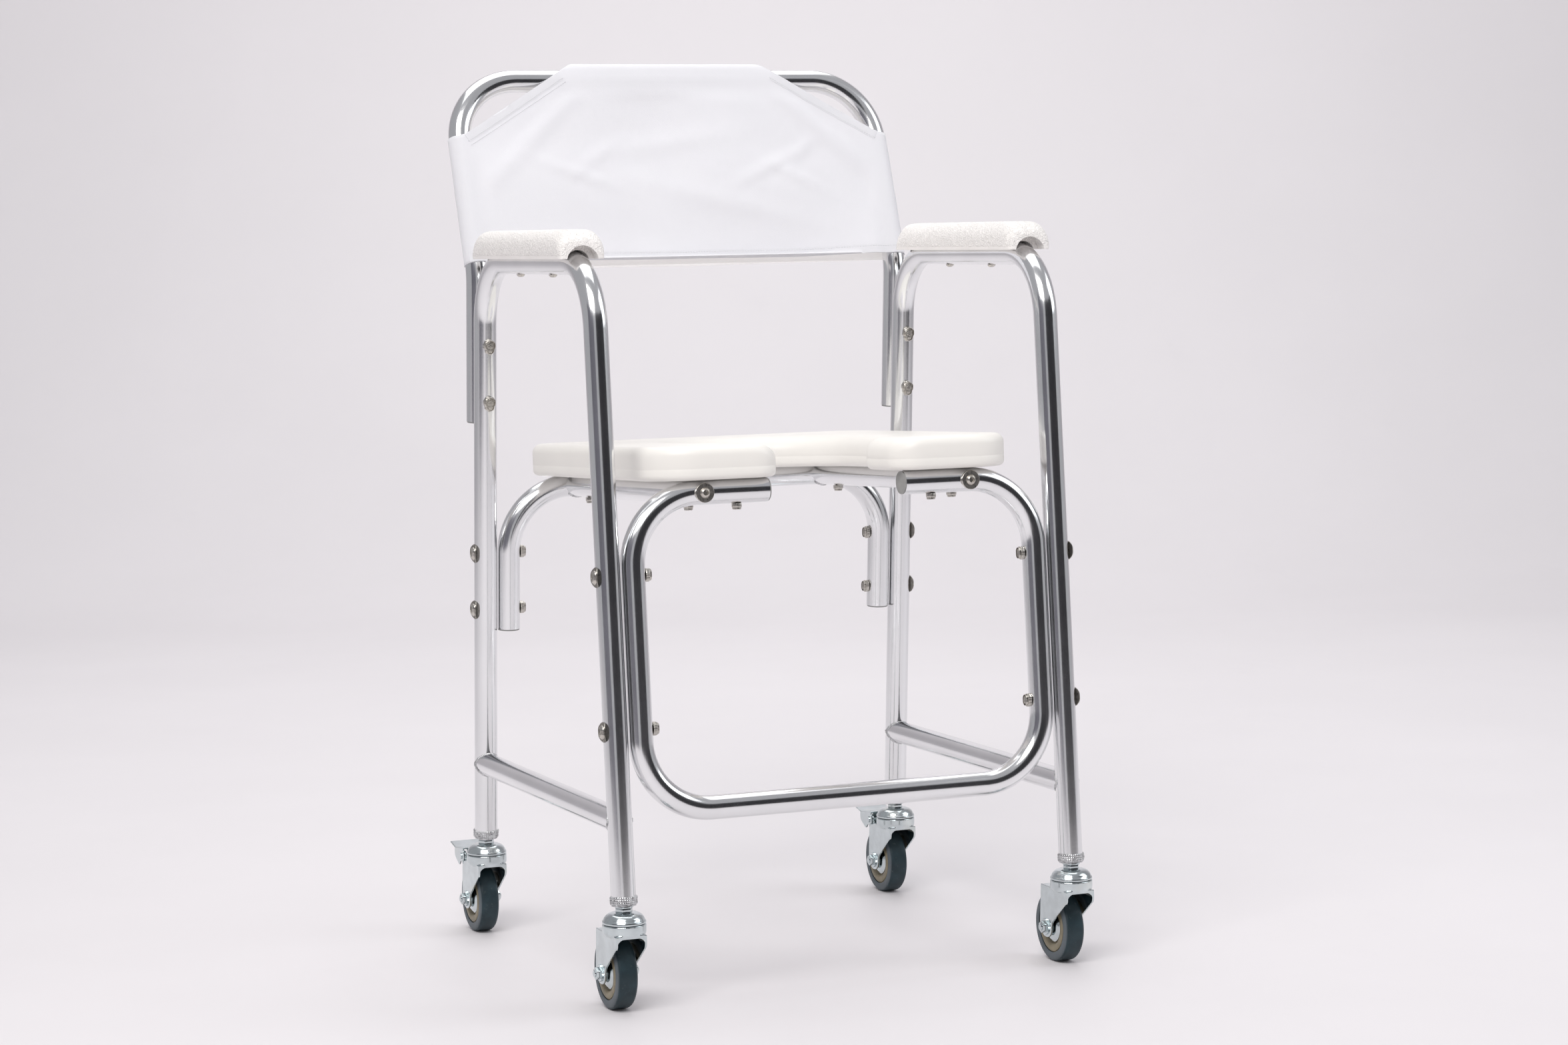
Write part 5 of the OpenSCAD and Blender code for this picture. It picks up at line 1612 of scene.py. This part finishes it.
def make_casters(context):
    sizes = context.scene.chair_casters
    colours = context.scene.chair_colours
    zinc = zinc_plate(colours)
    plastic = hub_plastic(colours)
    race = sizes.race
    feet = {
        "front_left": (-1, FRONT_FOOT_Y), "front_right": (1, FRONT_FOOT_Y),
        "rear_left": (-1, REAR_FOOT_Y), "rear_right": (1, REAR_FOOT_Y),
    }
    spots = {corner: Vector((s * LEG_X, y, 0)) for corner, (s, y) in feet.items()}
    caps = [
        (0, 0.1046), (0.0100, 0.1045), (0.0138, 0.1040), (0.0168, 0.1028), (0.0192, 0.1009), (0.0207, 0.0986),
        (0.0213, 0.0968), (0.0219, 0.0963), (race - 0.0002, 0.0957), (race - 0.0002, 0.0940), (0.0221, 0.0935),
        (0.0196, 0.0935), (0.0196, 0.0945), (0, 0.0945),
    ]
    cap = lathe("cap", caps, Matrix(), 72)
    sharpened(cap, 40.0)
    nut = hexagon("nut", 0.016, 0.0055, 0.0007)
    nut.data.transform(Matrix.Translation((0, 0, 0.104)))
    neck = lathe("neck", [(0, 0.109), (0.0088, 0.109), (0.0096, 0.1098), (0.0096, 0.1126), (0.0090, 0.1134), (0, 0.1134)], Matrix(), 48)
    rivet = lathe("rivet", [(0, 0.0764), (0.0058, 0.0766), (0.0074, 0.0778), (0.0074, 0.0796), (0, 0.0796)], Matrix(), 36)
    top = joined("top", [cap, nut, neck, rivet])
    sharpened(top, 40.0)
    fixed = joined("swivel_caps", [copied(top, "copy", spot) for spot in spots.values()])
    bpy.data.objects.remove(top)
    finished(sharpened(fixed, 40.0), zinc, "frame", ["caster_caps"])
    coated("caster_balls", zinc)

    for braked in (False, True):
        fork = fork_piece(sizes, race, braked)
        for corner, spot in spots.items():
            if corner.startswith("rear") != braked:
                continue
            piece = copied(fork, f"{corner}_fork_pressing", spot)
            finished(piece, zinc, f"{corner}_swivel", [f"{corner}_fork"])
        bpy.data.objects.remove(fork)
    half = sizes.tread_half
    shoulder = 0.0042
    profile = [(sizes.hub - 0.0002, -half + 0.0004), (sizes.hub + 0.0006, -half)]
    for k in range(9):
        turn = -math.pi / 2 + math.pi / 2 * k / 8
        profile.append((WHEEL_R - shoulder + shoulder * math.cos(turn), -half + shoulder + shoulder * math.sin(turn)))
    full = profile + [(r, -z) for r, z in reversed(profile)]
    wheel_place = Matrix.Translation((0, TRAIL, WHEEL_R)) @ Matrix.Rotation(math.pi / 2, 4, "Y")
    tyre = sharpened(lathe("tyre", full, wheel_place, 96, closed=True), 50.0)
    rings = [
        (0.0070, half - 0.0045), (0.0172, half - 0.0045), (0.0186, half - 0.0040), (0.0200, half - 0.0012),
        (0.0212, half - 0.0004), (0.0262, half - 0.0004), (0.0270, half - 0.0009), (0.0272, half - 0.0020),
        (sizes.hub - 0.0001, half - 0.0020),
    ]
    full = [(r, -z) for r, z in rings] + [(r, z) for r, z in reversed(rings)]
    hub = sharpened(lathe("hub", full, wheel_place, 72, closed=True), 40.0)
    disc = [
        (0.0063, half - 0.0008), (0.0063, half + 0.0010), (0.0090, half + 0.0011), (0.0125, half + 0.0004),
        (0.0150, half - 0.0012), (sizes.guard, half - 0.0024), (sizes.guard, half - 0.0034), (0.0150, half - 0.0026),
    ]
    guards = joined("guards", [
        lathe("guard", [(r, way * z) for r, z in disc], wheel_place, 60, closed=True) for way in (1, -1)
    ])
    sharpened(guards, 40.0)
    outer = sizes.fork_half
    ends = []
    for way in (1, -1):
        turn = Matrix.Translation((0, TRAIL, WHEEL_R)) @ Matrix.Rotation(way * math.pi / 2, 4, "Y")
        head = hexagon("head", 0.0115, 0.0050, 0.0006)
        head.data.transform(turn @ Matrix.Translation((0, 0, outer + 0.0008)))
        rim = []
        for k in range(72):
            r = 0.0082 if k % 2 else 0.0087
            rim.append((r * math.cos(math.tau * k / 72), r * math.sin(math.tau * k / 72)))
        flange = plate("flange", rim, 0.0013, turn @ Matrix.Translation((0, 0, outer + 0.0007)))
        tip = lathe("tip", [(0, 0.0), (0.0038, 0.0), (0.0038, outer + 0.0066), (0.0032, outer + 0.0072), (0, outer + 0.0072)], turn, 32)
        ends += [head, flange, tip]
    axle = sharpened(joined("axle", ends), 35.0)
    for corner, spot in spots.items():
        rubber = tyre_rubber(f"{corner}_rubber", colours, spot.x, half)
        wheel, swivel = f"{corner}_wheel", f"{corner}_swivel"
        finished(copied(tyre, f"{corner}_tread", spot), rubber, wheel, [f"{corner}_tyre"])
        finished(copied(hub, f"{corner}_hub_moulding", spot), plastic, wheel, [f"{corner}_hub"])
        finished(copied(guards, f"{corner}_discs", spot), zinc, wheel, [f"{corner}_guards"])
        finished(copied(axle, f"{corner}_axle_ends", spot), zinc, swivel, [f"{corner}_axle"])
        coated(f"{corner}_spacer", zinc)
    for obj in (tyre, hub, guards, axle):
        bpy.data.objects.remove(obj)
    pedal = pedal_piece(sizes)
    for corner in ("rear_left", "rear_right"):
        piece = copied(pedal, f"{corner}_brake_pedal", spots[corner])
        finished(piece, zinc, f"{corner}_brake", [f"{corner}_pedal"])
        coated(f"{corner}_pedal_pin", zinc)
    bpy.data.objects.remove(pedal)


def fork_piece(sizes, race, braked):
    """The pressed fork: round crown, two cheeks with rolled corners and rear flanges."""
    half, sheet = sizes.fork_half, sizes.sheet
    back, front = TRAIL + 0.011, -race + 0.002
    outline = [
        (front, 0.083, 0), (front, 0.071, 0.006), (TRAIL - 0.0128, WHEEL_R + 0.006, 0.012),
        (TRAIL - 0.0106, WHEEL_R - 0.0112, 0.0098), (TRAIL + 0.0110, WHEEL_R - 0.0112, 0.0098),
        (back, WHEEL_R + 0.004, 0.003), (back, 0.083, 0),
    ]
    if braked:
        ear = BRAKE_PIN.y
        outline[-1:] = [(back, 0.0795, 0.002), (ear + 0.0062, 0.0795, 0.003), (ear + 0.0062, 0.0920, 0.0055), (ear - 0.0062, 0.0920, 0.0055), (ear - 0.0062, 0.083, 0.001)]
    outline = filleted(outline, steps=8)
    parts = [yz_plate("cheek", outline, s * (half - sheet / 2), sheet) for s in (-1, 1)]
    crown = [(-half, 0.0835), (half, 0.0835), (half, 0.080), (-half, 0.080)]
    crown = filleted([(x, z, r) for (x, z), r in zip(crown, (0.003, 0.003, 0, 0))], steps=5)
    parts.append(xz_block("crown", crown, front, back - 0.003))
    roll = 0.0085
    for s in (-1, 1):
        inner = half - sheet * 0.6
        corner = [(s * inner, 0.0812), (s * inner, 0.0812 - roll - 0.001)]
        for k in range(9):
            turn = math.pi / 2 * k / 8
            corner.append((s * (inner - roll + roll * math.cos(turn) * 0.999), 0.0802 - roll + roll * math.sin(turn)))
        corner.append((s * (inner - roll), 0.0812))
        parts.append(xz_block("roll", corner, front, 0.006))
    rim = [
        (0.0062, 0.0802), (race - 0.0045, 0.0802), (race - 0.0018, 0.0812), (race - 0.0002, 0.0838), (race, 0.0862),
        (race, 0.0922), (race - 0.0010, 0.0929), (race - 0.0030, 0.0929), (race - 0.0034, 0.0905), (0.0062, 0.0900),
    ]
    parts.append(lathe("race", rim, Matrix(), 72, closed=True))
    for s in (-1, 1):
        strip = filleted([(half - 0.0048, 0.0445, 0.002), (half, 0.0445, 0), (half, 0.0815, 0), (half - 0.0048, 0.0815, 0)], steps=4)
        parts.append(xz_block("flange", [(s * x, z) for x, z in strip], back - sheet, back))
    fork = outward(joined("fork", parts))
    return moulded(fork, sizes.voxel, 3)


def pedal_piece(sizes):
    """The foot lever: two cheeks, a top plate with a flared lip, and its shoe."""
    pin = BRAKE_PIN
    low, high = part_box("rear_right_pedal")
    tip = high.y - REAR_FOOT_Y
    outer = (high.x - low.x) / 2
    sheet = 0.002
    lip = pin.y + 0.026
    cheek = filleted([
        (pin.y - 0.0063, pin.z + 0.0078, 0.003), (pin.y - 0.0065, pin.z - 0.0060, 0.0060), (pin.y + 0.0045, pin.z - 0.0066, 0.004),
        (pin.y + 0.0095, pin.z - 0.0118, 0.002), (lip - 0.001, pin.z - 0.0032, 0.006), (lip - 0.0005, pin.z + 0.0048, 0.001),
    ], steps=6)
    parts = [yz_plate("cheek", cheek, s * (outer - sheet / 2), sheet) for s in (-1, 1)]
    run = [
        (pin.y - 0.006, pin.z + 0.0082), (lip - 0.006, pin.z + 0.0046), (lip - 0.001, pin.z + 0.0056), (tip - 0.0006, pin.z + 0.0092),
        (tip, pin.z + 0.0102), (tip - 0.0012, pin.z + 0.0110), (lip - 0.003, pin.z + 0.0068), (pin.y - 0.006, pin.z + 0.0102),
    ]
    parts.append(yz_plate("tread", run, 0, 2 * outer))
    shoe = [(pin.y + 0.010, pin.z - 0.011), (pin.y + 0.013, pin.z - 0.0102), (pin.y + 0.013, pin.z + 0.007), (pin.y + 0.010, pin.z + 0.007)]
    parts.append(yz_plate("shoe", shoe, 0, 0.018))
    pedal = outward(joined("pedal", parts))
    return moulded(pedal, sizes.voxel, 3)


# ---- The studio ----


def card(name, centre, width, height, look_at, strength=0.0, shade=(1, 1, 1)):
    """A light, or a dark board that only reflections see when its strength is 0."""
    facing_turn = (Vector(look_at) - Vector(centre)).to_track_quat("-Z", "Y")
    if strength:
        light = bpy.data.lights.new(name, "AREA")
        light.shape = "RECTANGLE"
        light.size, light.size_y = width, height
        light.energy = strength
        light.color = shade
        obj = bpy.data.objects.new(name, light)
    else:
        corners = [(-width / 2, -height / 2, 0), (width / 2, -height / 2, 0), (width / 2, height / 2, 0), (-width / 2, height / 2, 0)]
        mesh = bpy.data.meshes.new(name)
        mesh.from_pydata(corners, [], [(0, 1, 2, 3)])
        board = Finish(name, Roughness=1.0)
        board.shader.inputs["Base Color"].default_value = (*shade, 1.0)
        mesh.materials.append(board.material)
        obj = bpy.data.objects.new(name, mesh)
        obj.visible_camera = obj.visible_diffuse = obj.visible_shadow = False
    obj.location = centre
    obj.rotation_mode = "QUATERNION"
    obj.rotation_quaternion = facing_turn
    bpy.context.scene.collection.objects.link(obj)
    return obj


def make_stage(context):
    stage = context.scene.chair_stage
    scene = context.scene
    colours = context.scene.chair_colours
    points, faces = [], []
    ahead = Vector((math.sin(-stage.yaw), math.cos(stage.yaw), 0))
    aside = Vector((ahead.y, -ahead.x, 0))
    sweep = [(-6.0, 0.0), (3.2, 0.0)]
    for k in range(1, 13):
        turn = math.pi / 2 * k / 12
        sweep.append((3.2 + 1.6 * math.sin(turn), 1.6 * (1 - math.cos(turn))))
    sweep.append((4.8, 6.0))
    for run, rise in sweep:
        for across in (-7.0, 7.0):
            points.append(ahead * run + aside * across + Vector((0, 0, rise)))
    for k in range(len(sweep) - 1):
        faces.append([2 * k, 2 * k + 1, 2 * k + 3, 2 * k + 2])
    floor = outward(piece_of("studio_sweep", points, faces))
    floor.data.materials.append(studio_floor(colours))
    toward = -ahead
    for name, turn, far, width, shade in (
        ("dark_board_near", 24, 3.0, 2.3, 0.022),
        ("dark_board_right", 58, 3.0, 1.7, 0.02),
        ("grey_board_left", -38, 3.2, 2.6, 0.16),
    ):
        way = toward * math.cos(math.radians(turn)) + aside * math.sin(math.radians(turn))
        centre = way * far + Vector((0, 0, 0.95))
        card(name, tuple(centre), width, 2.5, (0, 0, 0.95), shade=(shade, shade, shade * 1.15))
    lamps = [
        card("key_light", (-1.9, -2.2, 3.3), 2.4, 1.8, (0, 0, 0.5), 96, (1.0, 0.985, 0.97)),
        card("fill_light", (2.9, -1.4, 2.2), 2.0, 2.2, (0, 0, 0.4), 26, (0.95, 0.97, 1.0)),
        card("top_light", (0.2, 0.9, 3.6), 3.2, 3.2, (0, 0, 0), 46),
        card("wall_light", tuple(ahead * 2.4 + Vector((0, 0, 3.6))), 2.2, 1.0, tuple(ahead * 4.7 + Vector((0, 0, 1.3))), 42),
    ]
    world = bpy.data.worlds.new("studio_air")
    world.use_nodes = True
    world.node_tree.nodes["Background"].inputs[0].default_value = (0.93, 0.93, 0.97, 1.0)
    world.node_tree.nodes["Background"].inputs[1].default_value = 0.44
    scene.world = world
    scene.view_settings.view_transform = "Standard"
    camera = bpy.data.cameras.new("camera")
    camera.lens = stage.lens
    camera.sensor_width = 36.0
    camera.clip_end = 60.0
    eye = bpy.data.objects.new("camera", camera)
    eye.location = stage.eye
    eye.rotation_euler = view_turn(stage)
    bpy.context.scene.collection.objects.link(eye)
    scene.camera = eye


def view_turn(stage):
    """The camera's angles from its yaw, pitch and roll."""
    a, e, r = stage.yaw, stage.pitch, stage.roll
    ahead = Vector((-math.sin(a) * math.cos(e), math.cos(a) * math.cos(e), math.sin(e)))
    right = Vector((math.cos(a), math.sin(a), 0))
    up = right.cross(ahead)
    across = right * math.cos(r) + up * math.sin(r)
    over = up * math.cos(r) - right * math.sin(r)
    return Matrix((across, over, -ahead)).transposed().to_euler()


# ---- The add-on ----


def operator(label, maker, text):
    """An operator class that runs one maker."""

    def execute(self, context):
        maker(context)
        return {"FINISHED"}

    name = "CHAIR_OT_" + maker.__name__
    members = {"bl_idname": "chair." + maker.__name__, "bl_label": label, "__doc__": text, "execute": execute}
    return type(name, (bpy.types.Operator,), members)


OPERATORS = (
    operator("Tubes", make_tubes, "Builds the bent tubes and their welds"),
    operator("Fasteners", make_fasteners, "Builds the bolts, nuts and washers"),
    operator("Back cover", make_cover, "Builds the cloth back cover with its hems"),
    operator("Seat", make_seat, "Builds the moulded seat"),
    operator("Arm pads", make_pads, "Builds the two arm pads"),
    operator("Casters", make_casters, "Builds the four casters"),
    operator("Studio", make_stage, "Builds the floor, the lights and the camera"),
)


class CHAIR_PT_panel(bpy.types.Panel):
    """Buttons and sizes of the commode chair."""

    bl_label = "Commode chair"
    bl_space_type = "VIEW_3D"
    bl_region_type = "UI"
    bl_category = "Commode chair"

    def draw(self, context):
        for item in OPERATORS:
            self.layout.operator(item.bl_idname)
        for key in GROUPS:
            box = self.layout.box()
            group = getattr(context.scene, key)
            for name in group.bl_rna.properties.keys():
                if name not in ("rna_type", "name"):
                    box.prop(group, name)


def register():
    for group in GROUPS.values():
        bpy.utils.register_class(group)
    for item in (*OPERATORS, CHAIR_PT_panel):
        bpy.utils.register_class(item)
    for key, group in GROUPS.items():
        setattr(bpy.types.Scene, key, PointerProperty(type=group))


def unregister():
    for key in GROUPS:
        delattr(bpy.types.Scene, key)
    for item in (*OPERATORS, CHAIR_PT_panel):
        bpy.utils.unregister_class(item)
    for group in GROUPS.values():
        bpy.utils.unregister_class(group)


def main():
    """Builds the whole chair in its studio and writes how its box compares with the CAD's."""
    register()
    for item in OPERATORS:
        group, name = item.bl_idname.split(".")
        getattr(getattr(bpy.ops, group), name)()


if __name__ == "__main__":
    main()
